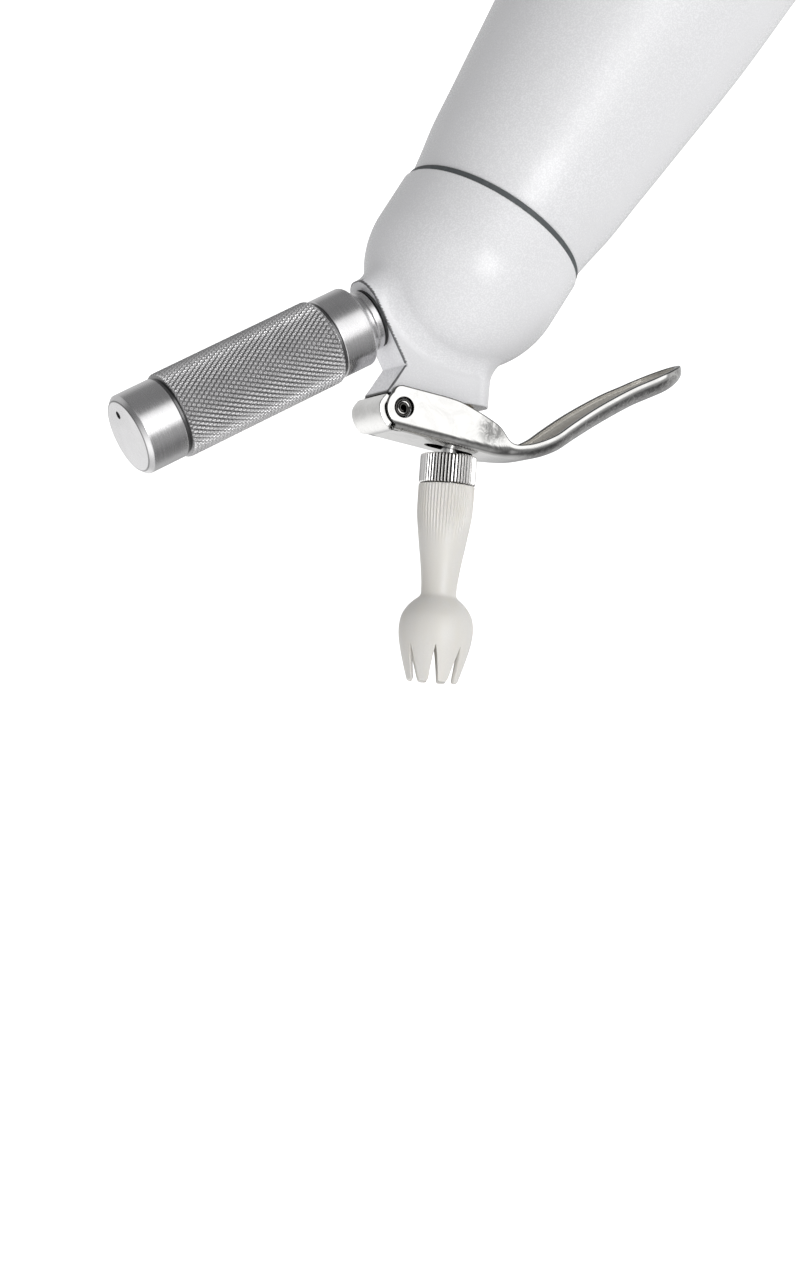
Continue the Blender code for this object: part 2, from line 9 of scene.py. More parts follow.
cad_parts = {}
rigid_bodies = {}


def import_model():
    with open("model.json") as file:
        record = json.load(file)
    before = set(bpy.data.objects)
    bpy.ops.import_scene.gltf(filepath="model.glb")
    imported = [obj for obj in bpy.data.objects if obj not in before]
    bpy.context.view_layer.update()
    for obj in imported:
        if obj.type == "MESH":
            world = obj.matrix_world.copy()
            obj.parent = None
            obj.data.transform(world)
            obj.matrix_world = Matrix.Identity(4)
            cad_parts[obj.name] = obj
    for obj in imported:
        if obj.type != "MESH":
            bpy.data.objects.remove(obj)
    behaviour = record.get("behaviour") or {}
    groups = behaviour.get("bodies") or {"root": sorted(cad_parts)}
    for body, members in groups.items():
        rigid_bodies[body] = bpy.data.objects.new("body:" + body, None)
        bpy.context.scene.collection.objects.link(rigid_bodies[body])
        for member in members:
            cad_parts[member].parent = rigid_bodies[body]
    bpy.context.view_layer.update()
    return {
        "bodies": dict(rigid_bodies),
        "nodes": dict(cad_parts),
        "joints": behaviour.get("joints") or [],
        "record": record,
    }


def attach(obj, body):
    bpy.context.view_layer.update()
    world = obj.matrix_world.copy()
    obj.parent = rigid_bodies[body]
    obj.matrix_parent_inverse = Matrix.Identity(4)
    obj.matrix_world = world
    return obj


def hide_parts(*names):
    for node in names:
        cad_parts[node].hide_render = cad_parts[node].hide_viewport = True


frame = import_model()
nodes = frame["nodes"]

MM = 0.001
SEAM_Z = 152.0
TILT = math.radians(29.25)
PORT_Z = 167.6
SIN, COS = math.sin(TILT), math.cos(TILT)
ORIGIN = Matrix.Translation((0.0, 0.0, PORT_Z * MM))
NOZZLE = ORIGIN @ Matrix.Rotation(-TILT, 4, 'Y')      # local X across, local Z out of the port
CHARGER = ORIGIN @ Matrix.Rotation(TILT, 4, 'Y')
UPRIGHT = Matrix.Identity(4)
PIVOT_S, PIVOT_P = 43.8, 20.3                         # lever pivot in the nozzle frame
PIVOT_X = -PIVOT_S * SIN + PIVOT_P * COS
PIVOT_Z = PORT_Z + PIVOT_S * COS + PIVOT_P * SIN
PIVOT = Matrix.Translation((PIVOT_X * MM, 0.0, PIVOT_Z * MM)) @ Matrix.Rotation(math.radians(90.0), 4, 'X')


# ---------------------------------------------------------------- mesh helpers
def smoothstep(x, a, b):
    t = np.clip((np.asarray(x, float) - a) / (b - a), 0.0, 1.0)
    return t * t * (3.0 - 2.0 * t)


def through(points, n):
    """Smooth curve through the points (any number of columns), n pieces between two of them."""
    pts = np.asarray(points, float)
    k = len(pts)
    out = []
    for i in range(k - 1):
        p0, p1, p2, p3 = pts[max(i - 1, 0)], pts[i], pts[i + 1], pts[min(i + 2, k - 1)]
        for j in range(n):
            t = j / n
            out.append(0.5 * (2 * p1 + (p2 - p0) * t + (2 * p0 - 5 * p1 + 4 * p2 - p3) * t * t
                              + (3 * p1 - p0 - 3 * p2 + p3) * t ** 3))
    out.append(pts[-1])
    return np.array(out)


def arc(cx, cy, r, a0, a1, n):
    return [(cx + r * math.cos(math.radians(a0 + (a1 - a0) * i / n)),
             cy + r * math.sin(math.radians(a0 + (a1 - a0) * i / n))) for i in range(n + 1)]


def rounded(points, step=12.0, closed=True):
    """Profile with corners (r, z, radius) turned into arcs; a corner without a radius stays sharp."""
    out = []
    n = len(points)
    for i, q in enumerate(points):
        rad = q[2] if len(q) > 2 else 0.0
        p = np.array(q[:2], float)
        if rad <= 0 or (not closed and i in (0, n - 1)):
            out.append(tuple(p))
            continue
        a = np.array(points[i - 1][:2], float) - p
        b = np.array(points[(i + 1) % n][:2], float) - p
        la, lb = np.linalg.norm(a), np.linalg.norm(b)
        a, b = a / la, b / lb
        cosv = float(np.clip(a @ b, -1, 1))
        half = math.acos(cosv) / 2
        if abs(math.pi / 2 - half) < 0.01:
            out.append(tuple(p))
            continue
        t = min(rad / math.tan(half), 0.49 * la, 0.49 * lb)
        rad = t * math.tan(half)
        mid = (a + b) / np.linalg.norm(a + b)
        c = p + mid * (rad / math.sin(half))
        v0, v1 = p + a * t - c, p + b * t - c
        a0 = math.atan2(v0[1], v0[0])
        da = math.atan2(v1[1], v1[0]) - a0
        da = (da + math.pi) % (2 * math.pi) - math.pi
        m = max(2, int(math.ceil(abs(math.degrees(da)) / step)))
        # a point a little beyond each end of the arc keeps the flat beside it flat when it is shaded
        sa, sb = min(0.25, 0.5 * (0.5 * la - t)), min(0.25, 0.5 * (0.5 * lb - t))
        if sa > 0.03:
            out.append(tuple(p + a * (t + sa)))
        for k in range(m + 1):
            w = a0 + da * k / m
            out.append((c[0] + rad * math.cos(w), c[1] + rad * math.sin(w)))
        if sb > 0.03:
            out.append(tuple(p + b * (t + sb)))
    return out


def build(name, verts, polys, world, mat, body, node=None, sharp=35.0, normals=None, turn=True,
          marks=None):
    """Object from an (n, 3) array in mm and a list of (k, 3) or (k, 4) index arrays, outside outward.

    marks: values at the vertices, by name, that its material reads.
    """
    verts = np.asarray(verts, float)
    polys = [np.asarray(p, int) for p in polys if len(p)]
    if turn:
        vol = 0.0
        for p in polys:
            a = verts[p[:, 0]]
            for k in range(1, p.shape[1] - 1):
                vol += float(np.einsum('ij,ij->i', a, np.cross(verts[p[:, k]], verts[p[:, k + 1]])).sum())
        if vol < 0:
            polys = [p[:, ::-1] for p in polys]
    place = np.array(world)
    me = bpy.data.meshes.new(name)
    me.vertices.add(len(verts))
    me.vertices.foreach_set("co", (verts * MM @ place[:3, :3].T + place[:3, 3]).astype(np.float32).ravel())
    loops = np.concatenate([p.ravel() for p in polys])
    sizes = np.concatenate([np.full(len(p), p.shape[1]) for p in polys])
    starts = np.concatenate([[0], np.cumsum(sizes)[:-1]])
    me.loops.add(len(loops))
    me.loops.foreach_set("vertex_index", loops.astype(np.int32))
    me.polygons.add(len(sizes))
    me.polygons.foreach_set("loop_start", starts.astype(np.int32))
    me.update(calc_edges=True)
    me.validate()
    for key, value in (marks or {}).items():
        me.attributes.new(key, 'FLOAT', 'POINT').data.foreach_set("value", np.asarray(value, np.float32))
    me.shade_smooth()
    if normals is not None:
        me.normals_split_custom_set_from_vertices([tuple(v) for v in np.asarray(normals, float)])
    elif sharp is not None:
        me.set_sharp_from_angle(angle=math.radians(sharp))
    me.materials.append(mat)
    ob = bpy.data.objects.new(name, me)
    bpy.context.scene.collection.objects.link(ob)
    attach(ob, body)
    if node:
        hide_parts(node)
    return ob


def sweep(profile, seg, radius=None, closed=None, z_of=None):
    """Vertices and faces of a turned surface. radius(theta, z, r, i) may carve it, z_of(theta, z, i) may warp it."""
    prof = np.asarray(profile, float)
    n = len(prof)
    axis = prof[:, 0] < 1e-6
    if closed is None:
        closed = not (axis[0] and axis[-1])
    theta = np.arange(seg) * 2 * math.pi / seg
    verts, base = [], []
    count = 0
    for i, (r, z) in enumerate(prof):
        base.append(count)
        if axis[i]:
            verts.append(np.array([[0.0, 0.0, z]]))
            count += 1
        else:
            rr = np.full(seg, r) if radius is None else radius(theta, np.full(seg, z), np.full(seg, r), i)
            zz = np.full(seg, z) if z_of is None else z_of(theta, np.full(seg, z), i)
            verts.append(np.stack([rr * np.cos(theta), rr * np.sin(theta), zz], 1))
            count += seg
    quads, tris = [], []
    a = np.arange(seg)
    b = (a + 1) % seg
    for i in range(n if closed else n - 1):
        j = (i + 1) % n
        if axis[i] and axis[j]:
            continue
        if axis[i]:
            tris.append(np.stack([np.full(seg, base[i]), base[j] + a, base[j] + b], 1))
        elif axis[j]:
            tris.append(np.stack([base[i] + a, np.full(seg, base[j]), base[i] + b], 1))
        else:
            quads.append(np.stack([base[i] + a, base[j] + a, base[j] + b, base[i] + b], 1))
    polys = []
    if quads:
        polys.append(np.concatenate(quads))
    if tris:
        polys.append(np.concatenate(tris))
    return np.concatenate(verts), polys


def refine(profile, z0, z1, step):
    """Adds points to the profile's long straight pieces between z0 and z1."""
    out = []
    n = len(profile)
    for i in range(n):
        a, b = np.array(profile[i][:2], float), np.array(profile[(i + 1) % n][:2], float)
        out.append(tuple(a))
        if min(a[1], b[1]) >= z0 - 1e-6 and max(a[1], b[1]) <= z1 + 1e-6:
            m = int(np.linalg.norm(b - a) / step)
            for k in range(1, m):
                out.append(tuple(a + (b - a) * k / m))
    return out


def boolean(ob, cutter_verts, cutter_polys, world, name):
    """Cuts a closed shape out of ob and bakes the result into its mesh."""
    me = bpy.data.meshes.new(name)
    v = np.asarray(cutter_verts, float)
    polys = [np.asarray(p, int) for p in cutter_polys]
    vol = 0.0
    for p in polys:
        for k in range(1, p.shape[1] - 1):
            vol += float(np.einsum('ij,ij->i', v[p[:, 0]], np.cross(v[p[:, k]], v[p[:, k + 1]])).sum())
    faces = [tuple(int(x) for x in (f[::-1] if vol < 0 else f)) for p in polys for f in p]
    me.from_pydata([tuple(x) for x in v * MM], [], faces)
    cut = bpy.data.objects.new(name, me)
    bpy.context.scene.collection.objects.link(cut)
    cut.matrix_world = world
    m = ob.modifiers.new(name, 'BOOLEAN')
    m.operation = 'DIFFERENCE'
    m.solver = 'EXACT'
    m.object = cut
    bpy.context.view_layer.update()
    deps = bpy.context.evaluated_depsgraph_get()
    new = bpy.data.meshes.new_from_object(ob.evaluated_get(deps))
    old = ob.data
    ob.modifiers.clear()
    new.name = old.name
    ob.data = new
    bpy.data.meshes.remove(old)
    bpy.data.objects.remove(cut, do_unlink=True)
    bpy.data.meshes.remove(me)


def prism(points, z0, z1):
    """Closed prism over a convex or star-shaped outline, fanned from its middle."""
    p = np.asarray(points, float)
    n = len(p)
    c = p.mean(0)
    v = np.concatenate([np.c_[p, np.full(n, z0)], np.c_[p, np.full(n, z1)], [[c[0], c[1], z0], [c[0], c[1], z1]]])
    a = np.arange(n)
    b = (a + 1) % n
    return v, [np.stack([a, b, n + b, n + a], 1),
               np.concatenate([np.stack([b, a, np.full(n, 2 * n)], 1), np.stack([n + a, n + b, np.full(n, 2 * n + 1)], 1)])]


def tube_cut(r, z0, z1, seg=64, x=0.0, y=0.0):
    return prism([(x + r * math.cos(2 * math.pi * i / seg), y + r * math.sin(2 * math.pi * i / seg))
                  for i in range(seg)], z0, z1)


# ---------------------------------------------------------------- materials
class Finish:
    """A node material built on one Principled BSDF."""

    def __init__(self, name, colour, rough, metal, frame=None, **fixed):
        self.mat = bpy.data.materials.new(name)
        self.mat.use_nodes = True
        self.tree = self.mat.node_tree
        self.bsdf = self.tree.nodes["Principled BSDF"]
        self.bsdf.inputs["Base Color"].default_value = (*colour, 1.0)
        self.bsdf.inputs["Roughness"].default_value = rough
        self.bsdf.inputs["Metallic"].default_value = metal
        for k, v in fixed.items():
            self.bsdf.inputs[k.replace("_", " ")].default_value = v
        self.mat.diffuse_color = (*colour, 1.0)
        self.coord = self.tree.nodes.new("ShaderNodeTexCoord").outputs["Object"]
        if frame is not None:
            n = self.tree.nodes.new("ShaderNodeMapping")
            n.vector_type = 'TEXTURE'
            n.inputs["Location"].default_value = frame.to_translation()
            n.inputs["Rotation"].default_value = frame.to_euler('XYZ')
            self.link(self.coord, n.inputs["Vector"])
            self.coord = n.outputs["Vector"]
        self.last_bump = None

    def link(self, a, b):
        self.tree.links.new(a, b)

    def scaled(self, scale, vec=None):
        n = self.tree.nodes.new("ShaderNodeMapping")
        n.inputs["Scale"].default_value = scale
        self.link(vec or self.coord, n.inputs["Vector"])
        return n.outputs["Vector"]

    def noise(self, scale, detail=2.0, rough=0.5, vec=None, distort=0.0):
        n = self.tree.nodes.new("ShaderNodeTexNoise")
        n.inputs["Scale"].default_value = scale
        n.inputs["Detail"].default_value = detail
        n.inputs["Roughness"].default_value = rough
        n.inputs["Distortion"].default_value = distort
        self.link(vec or self.coord, n.inputs["Vector"])
        return n.outputs["Fac"]

    def voronoi(self, scale, vec=None, feature='F1'):
        n = self.tree.nodes.new("ShaderNodeTexVoronoi")
        n.feature = feature
        n.inputs["Scale"].default_value = scale
        self.link(vec or self.coord, n.inputs["Vector"])
        return n.outputs["Distance"]

    def math(self, op, a, b=None, clamp=False):
        n = self.tree.nodes.new("ShaderNodeMath")
        n.operation = op
        n.use_clamp = clamp
        for k, v in enumerate((a, b)):
            if v is None:
                continue
            if isinstance(v, (int, float)):
                n.inputs[k].default_value = v
            else:
                self.link(v, n.inputs[k])
        return n.outputs[0]

    def mark(self, name):
        n = self.tree.nodes.new("ShaderNodeAttribute")
        n.attribute_name = name
        return n.outputs["Fac"]

    def near(self, point, r0, r1):
        """1 inside r0 of a point in the material's own axes, 0 outside r1."""
        n = self.tree.nodes.new("ShaderNodeVectorMath")
        n.operation = 'DISTANCE'
        self.link(self.coord, n.inputs[0])
        n.inputs[1].default_value = point
        return self.ramp(n.outputs["Value"], r0, r1, 1.0, 0.0)

    def along(self, axis):
        n = self.tree.nodes.new("ShaderNodeSeparateXYZ")
        self.link(self.coord, n.inputs[0])
        return n.outputs[axis]

    def ramp(self, fac, a, b, lo, hi):
        n = self.tree.nodes.new("ShaderNodeMapRange")
        n.interpolation_type = 'SMOOTHSTEP'
        for k, v in (("From Min", a), ("From Max", b), ("To Min", lo), ("To Max", hi)):
            n.inputs[k].default_value = v
        self.link(fac, n.inputs["Value"])
        return n.outputs["Result"]

    def mix(self, fac, c0, c1):
        n = self.tree.nodes.new("ShaderNodeMix")
        n.data_type = 'RGBA'
        self.link(fac, n.inputs["Factor"])
        for s, c in ((n.inputs[6], c0), (n.inputs[7], c1)):
            if isinstance(c, tuple):
                s.default_value = (*c, 1.0)
            else:
                self.link(c, s)
        return n.outputs[2]

    def colour(self, out):
        self.link(out, self.bsdf.inputs["Base Color"])

    def rough(self, out):
        self.link(out, self.bsdf.inputs["Roughness"])

    def bump(self, height, distance, strength=1.0):
        n = self.tree.nodes.new("ShaderNodeBump")
        n.inputs["Strength"].default_value = strength
        n.inputs["Distance"].default_value = distance
        self.link(height, n.inputs["Height"])
        if self.last_bump is not None:
            self.link(self.last_bump, n.inputs["Normal"])
        self.last_bump = n.outputs["Normal"]
        self.link(self.last_bump, self.bsdf.inputs["Normal"])


def coat(name, colour, shade):
    """Satin powder coat: fine orange peel, faint cloudiness and a few specks."""
    f = Finish(name, colour, 0.34, 0.0)
    cloud = f.noise(38.0, 3.0)
    grain = f.noise(2300.0, 2.0, 0.65)
    peel = f.noise(620.0, 2.0, 0.5)
    spots = f.voronoi(260.0)
    c = f.mix(f.ramp(cloud, 0.3, 0.7, 0.0, 1.0), colour, shade)
    c = f.mix(f.ramp(grain, 0.40, 0.60, 0.0, 1.0), c, tuple(0.84 * v for v in colour))
    c = f.mix(f.ramp(spots, 0.02, 0.07, 0.35, 0.0), c, (0.62, 0.62, 0.63))
    # painted light and shade from the mesh's marks: shade greys the coat, light whitens it, edge and crevice darken it
    # to near black
    c = f.mix(f.mark("shade"), c, tuple(0.78 * v for v in colour))
    c = f.mix(f.mark("light"), c, (0.96, 0.96, 0.985))
    c = f.mix(f.ramp(f.mark("edge"), 0.10, 0.70, 0.0, 0.9), c, (0.05, 0.05, 0.055))
    c = f.mix(f.mark("crevice"), c, (0.012, 0.012, 0.012))
    f.colour(c)
    f.rough(f.ramp(grain, 0.3, 0.7, 0.18, 0.32))
    f.bump(peel, 0.00004, 0.4)
    f.bump(grain, 0.00009, 0.5)
    return f.mat


def turned_metal(name, colour, rough, line=0.15, grain=0.4, stain=0.06, frame=None, painted_shading=None):
    """Metal turned on a lathe about its own local Z: fine rings, a little haze."""
    f = Finish(name, colour, rough, 1.0, frame)
    rings = f.noise(1.0, 4.0, 0.75, f.scaled((60.0, 60.0, 9000.0)))
    wide = f.noise(1.0, 2.0, 0.5, f.scaled((25.0, 25.0, 1500.0)))
    fine = f.noise(5200.0, 2.0, 0.6)
    haze = f.noise(75.0, 4.0, 0.6)
    dark = tuple(v * (1.0 - 2.2 * stain) for v in colour)
    c = f.mix(f.ramp(haze, 0.35, 0.75, 0.0, 1.0), colour, dark)
    c = f.mix(f.ramp(fine, 0.3, 0.7, 0.0, 0.35), c, tuple(v * 0.8 for v in colour))
    # painted light and shade: the given colour goes where the mesh's mark is set, as shade in grooves and as highlights
    # on the pin's coil
    if painted_shading is not None:
        c = f.mix(f.mark("painted_shading"), c, painted_shading)
    f.colour(c)
    r = f.math('ADD', f.ramp(wide, 0.3, 0.7, rough - 0.02, rough + 0.03), f.ramp(fine, 0.3, 0.7, -0.02, 0.04))
    f.rough(r)
    f.bump(rings, 0.00001, line)
    f.bump(fine, 0.000012, grain)
    return f.mat


def pressed_steel(name, colour, rough, frame, neck):
    """Polished pressed sheet: soft lengthwise polishing marks, faint pits and smears, matt and browner in the dish,
    bumps in blotches on the tab's underside; painted shade on the underside, round the neck, on the bends and along the
    cut edges, and black around the stem's slot.
    """
    f = Finish(name, colour, rough, 1.0, frame)
    brush = f.noise(1.0, 4.0, 0.7, f.scaled((420.0, 5200.0, 5200.0)))
    smear = f.noise(120.0, 4.0, 0.62, None, 0.8)
    fine = f.noise(3800.0, 2.0, 0.6)
    pits = f.voronoi(700.0)
    c = f.mix(f.ramp(smear, 0.42, 0.72, 0.0, 1.0), colour, tuple(v * 0.86 for v in colour))
    c = f.mix(f.ramp(pits, 0.03, 0.09, 0.4, 0.0), c, tuple(v * 0.55 for v in colour))
    underside = f.mark("under")
    blotch = f.noise(420.0, 4.0, 0.7, None, 1.2)
    c = f.mix(f.mark("inside"), c, (0.56, 0.54, 0.495))
    # painted shade: the tab's underside darkened in blotches
    c = f.mix(f.math('MULTIPLY', underside, f.ramp(blotch, 0.30, 0.62, 0.55, 1.0)), c, tuple(v * 0.30 for v in colour))
    # painted shade: dark blotches round the lever's neck on one side
    c = f.mix(f.math('MULTIPLY', f.near(neck, 0.0020, 0.0062), f.ramp(blotch, 0.34, 0.60, 0.15, 0.9)), c,
              tuple(v * 0.22 for v in colour))
    # painted shade on the bends between cheeks and web
    c = f.mix(f.math('MULTIPLY', f.mark("band"), f.ramp(blotch, 0.30, 0.62, 0.8, 1.0)), c,
              tuple(v * 0.30 for v in colour))
    # painted shade: dark lines along the sheet's cut edges
    c = f.mix(f.ramp(f.mark("lip"), 0.3, 0.9, 0.0, 0.92), c, (0.045, 0.045, 0.043))
    # painted shade: black inside the channel around the stem's slot
    n = f.tree.nodes.new("ShaderNodeVectorMath")
    n.operation = 'DOT_PRODUCT'
    f.link(f.coord, n.inputs[0])
    n.inputs[1].default_value = (math.sin(math.radians(6.4)), 0.0, math.cos(math.radians(6.4)))
    deep = f.math('MULTIPLY', f.ramp(n.outputs["Value"], 0.05216, 0.05240, 1.0, 0.0),
                  f.near((0.0004, 0.0, 0.0512), 0.0094, 0.0106))
    c = f.mix(deep, c, (0.02, 0.02, 0.02))
    f.colour(c)
    r = f.math('ADD', f.ramp(smear, 0.35, 0.7, rough - 0.03, rough + 0.07), f.ramp(fine, 0.3, 0.7, -0.015, 0.03))
    f.rough(f.math('ADD', r, f.math('MULTIPLY', f.mark("inside"), 0.32)))
    f.bump(brush, 0.000008, 0.5)
    f.bump(smear, 0.00005, 0.25)
    f.bump(f.math('MULTIPLY', underside, blotch), 0.00022, 0.5)
    return f.mat


def rubber(name, colour, rough=0.7):
    """Matt moulded rubber with a little dust."""
    f = Finish(name, colour, rough, 0.0)
    fine = f.noise(2600.0, 3.0, 0.6)
    dust = f.noise(300.0, 5.0, 0.7)
    f.colour(f.mix(f.ramp(dust, 0.5, 0.75, 0.0, 0.6), colour, tuple(v * 1.6 + 0.02 for v in colour)))
    f.rough(f.ramp(fine, 0.3, 0.7, rough - 0.08, rough + 0.1))
    f.bump(fine, 0.00004, 0.5)
    return f.mat


def moulded(name, colour, warm, rough, frame):
    """Moulded plastic: a little light inside, fine matt texture, faint flow marks."""
    f = Finish(name, colour, rough, 0.0, frame)
    f.bsdf.inputs["Subsurface Weight"].default_value = 0.12
    f.bsdf.inputs["Subsurface Radius"].default_value = (0.9, 0.8, 0.65)
    f.bsdf.inputs["Subsurface Scale"].default_value = 0.0012
    fine = f.noise(2300.0, 3.0, 0.6)
    flow = f.noise(1.0, 3.0, 0.5, f.scaled((260.0, 260.0, 60.0)))
    f.colour(f.mix(f.ramp(flow, 0.35, 0.7, 0.0, 1.0), f.mix(f.ramp(fine, 0.3, 0.7, 0.0, 0.5), colour,
                                                          tuple(v * 0.93 for v in colour)), warm))
    f.rough(f.ramp(fine, 0.3, 0.7, rough - 0.05, rough + 0.08))
    f.bump(fine, 0.00002, 0.4)
    return f.mat


HEAD_COAT = coat("head_coat_finish", (0.84, 0.84, 0.855), (0.825, 0.825, 0.835))
BOTTLE_COAT = coat("bottle_coat_finish", (0.835, 0.835, 0.85), (0.815, 0.815, 0.825))
GREY_RUBBER = rubber("grey_rubber_finish", (0.075, 0.083, 0.086), 0.62)
BLACK_RUBBER = rubber("black_rubber_finish", (0.022, 0.022, 0.023), 0.68)
LEVER_STEEL = pressed_steel("lever_steel_finish", (0.74, 0.735, 0.72), 0.11, NOZZLE, (-0.0085, -0.011, 0.0467))
STEM_STEEL = turned_metal("stem_steel_finish", (0.70, 0.70, 0.69), 0.17, 0.35, 0.25, frame=NOZZLE)
NEEDLE_STEEL = turned_metal("needle_steel_finish", (0.70, 0.70, 0.69), 0.17, 0.35, 0.25, frame=CHARGER)
CLIP_STEEL = turned_metal("clip_steel_finish", (0.42, 0.41, 0.40), 0.26, 0.3, 0.5, 0.12, NOZZLE)
PIN_STEEL = turned_metal("pin_steel_finish", (0.075, 0.073, 0.07), 0.30, 0.3, 0.6, 0.12, PIVOT, (0.80, 0.79, 0.77))
ALUMINIUM = turned_metal("aluminium_finish", (0.71, 0.705, 0.71), 0.24, frame=CHARGER, painted_shading=(0.085, 0.085, 0.087))
COLLAR_ALU = turned_metal("collar_finish", (0.83, 0.82, 0.81), 0.14, 0.3, 0.3, 0.05, NOZZLE, (0.035, 0.035, 0.035))
PLUG_BRASS = turned_metal("plug_brass_finish", (0.72, 0.53, 0.25), 0.24, 0.4, 0.3, 0.1, CHARGER)
BUSH_BRASS = turned_metal("bush_brass_finish", (0.72, 0.53, 0.25), 0.24, 0.4, 0.3, 0.1, NOZZLE)
ZINC = turned_metal("zinc_finish", (0.60, 0.60, 0.615), 0.3, 0.2, 0.5, 0.14, CHARGER)
IVORY = moulded("ivory_finish", (0.73, 0.715, 0.685), (0.71, 0.69, 0.645), 0.36, NOZZLE)

for name, mat in (("piercing_pin", NEEDLE_STEEL), ("charger_gasket", BLACK_RUBBER), ("check_valve_disc", BLACK_RUBBER),
                  ("check_valve_plug", PLUG_BRASS), ("gas_charger", ZINC), ("valve_guide_bush", BUSH_BRASS),
                  ("stem_o_ring", BLACK_RUBBER), ("valve_head", BUSH_BRASS), ("valve_seal", BLACK_RUBBER),
                  ("stem_flange", STEM_STEEL), ("flange_clip", CLIP_STEEL), ("valve_spring", STEM_STEEL),
                  ("adapter_seal", BLACK_RUBBER)):
    ob = nodes[name]
    if not ob.data.materials:
        ob.data.materials.append(mat)
    for s in ob.material_slots:
        s.material = mat


# ---------------------------------------------------------------- bottle
THREAD = 4.5


def bottle_piece():
    side = through([(28.9, 148.8), (30.15, 141.0), (31.6, 132.5), (33.05, 119.0), (35.85, 94.0), (38.95, 65.0),
                    (40.9, 35.0), (41.72, 20.0), (41.6, 13.0)], 9)
    foot = arc(33.5, 8.1, 8.1, 35.0, -90.0, 16)
    outer = [tuple(p) for p in side[:-3]] + foot
    low = through([(33.5, 0.0), (31.5, 0.15), (30.2, 0.75), (28.8, 1.15), (20.0, 1.35), (8.0, 1.4)], 5)
    base = [tuple(p) for p in low[1:]] + [(0.0, 1.4)]
    top = rounded([(28.5, 150.2, 0.0), (28.9, 149.85, 0.3), (28.9, 148.8, 0.0)], closed=False)
    neck = [(26.0, 150.2)] + [(26.0, z) for z in np.arange(150.9, 162.3, 0.22)] + arc(25.5, 162.5, 0.5, 0.0, 90.0, 4)
    inner = ([(24.1, 163.0), (23.7, 162.85), (23.6, 162.5), (23.6, 149.2), (24.0, 147.6), (25.0, 146.0), (26.6, 143.5)]
             + [(r - 1.7, z) for r, z in side[9:-4:2]]
             + arc(33.5, 8.4, 6.3, 20.0, -90.0, 10) + [(20.0, 2.6), (0.0, 2.7)])
    # profile order: inside bottom -> inner wall -> neck -> outside -> base
    prof = list(reversed(inner)) + list(reversed(neck)) + top + outer[1:] + base
    lo = len(inner)
    hi = lo + len(neck)

    def carve(t, z, r, i):
        if lo <= i < hi and z[0] > 151.2:
            phase = (z / THREAD - t / (2 * math.pi)) % 1.0
            ridge = smoothstep(np.abs(phase - 0.5), 0.34, 0.14)
            fade = smoothstep(z, 152.6, 154.4) * smoothstep(z, 162.2, 160.8)
            return r - 0.75 * (1.0 - ridge * fade)
        return r

    v, f = sweep(prof, 200, carve, closed=False)
    build("bottle_shell", v, f, UPRIGHT, BOTTLE_COAT, "bottle", "bottle", 32.0)


def head_gasket_piece():
    prof = rounded([(26.5, 150.22, 0.25), (26.5, 151.98, 0.25), (27.5, 152.12, 0.1), (29.5, 152.12, 0.4), (29.5, 150.22, 0.4)], 18.0)
    v, f = sweep(prof, 200, closed=True)
    build("gasket_ring", v, f, UPRIGHT, GREY_RUBBER, "head_gasket", "head_gasket")


# ---------------------------------------------------------------- head
def rmax(a, b, r):
    """Intersection with a rounded edge."""
    u = np.maximum(r + a, 0.0)
    v = np.maximum(r + b, 0.0)
    return np.minimum(-r, np.maximum(a, b)) + np.sqrt(u * u + v * v)


def rmin(a, b, r):
    """Union with a hollow fillet."""
    u = np.maximum(r - a, 0.0)
    v = np.maximum(r - b, 0.0)
    return np.maximum(r, np.minimum(a, b)) - np.sqrt(u * u + v * v)


def n_xz(s, p):
    return (-s * SIN + p * COS, PORT_Z + s * COS + p * SIN)


def c_xz(s, q):
    return (s * SIN - q * COS, PORT_Z + s * COS + q * SIN)


EDGE = 0.5
LUG_R = 4.7
lug0 = math.degrees(math.asin(-1.3 / LUG_R))
BOSS = ([c_xz(33.1, -11.8), c_xz(33.1, 16.0), (PIVOT_X + 6.3, PIVOT_Z - 1.3)]
        + arc(PIVOT_X, PIVOT_Z, LUG_R, lug0, 180.0 + 29.25, 20)
        + [n_xz(39.9, 15.6), n_xz(39.9, -10.3), n_xz(14.0, -10.3), c_xz(14.0, -11.8)])


def inset(points, d):
    """Outline moved inwards by d with mitred corners."""
    p = np.asarray(points, float)
    n = len(p)
    area = 0.5 * np.sum(p[:, 0] * np.roll(p[:, 1], -1) - np.roll(p[:, 0], -1) * p[:, 1])
    e = np.roll(p, -1, 0) - p
    e /= np.linalg.norm(e, axis=1)[:, None]
    nrm = np.c_[-e[:, 1], e[:, 0]] * (1 if area > 0 else -1)
    out = []
    for i in range(n):
        a, b = nrm[i - 1], nrm[i]
        m = a + b
        out.append(p[i] + m * d / max(1e-6, 1.0 + float(a @ b)))
    return np.array(out)


BOSS_IN = inset(BOSS, EDGE)


def outline_distance(x, z, poly):
    d = np.full(x.shape, 1e9)
    s = np.ones(x.shape)
    n = len(poly)
    for i in range(n):
        ax, az = poly[i]
        bx, bz = poly[i - 1]
        ex, ez = bx - ax, bz - az
        wx, wz = x - ax, z - az
        t = np.clip((wx * ex + wz * ez) / (ex * ex + ez * ez), 0.0, 1.0)
        d = np.minimum(d, (wx - ex * t) ** 2 + (wz - ez * t) ** 2)
        c1, c2, c3 = z >= az, z < bz, ex * wz > ez * wx
        flip = (c1 & c2 & c3) | (~c1 & ~c2 & ~c3)
        s = np.where(flip, -s, s)
    return s * np.sqrt(d)


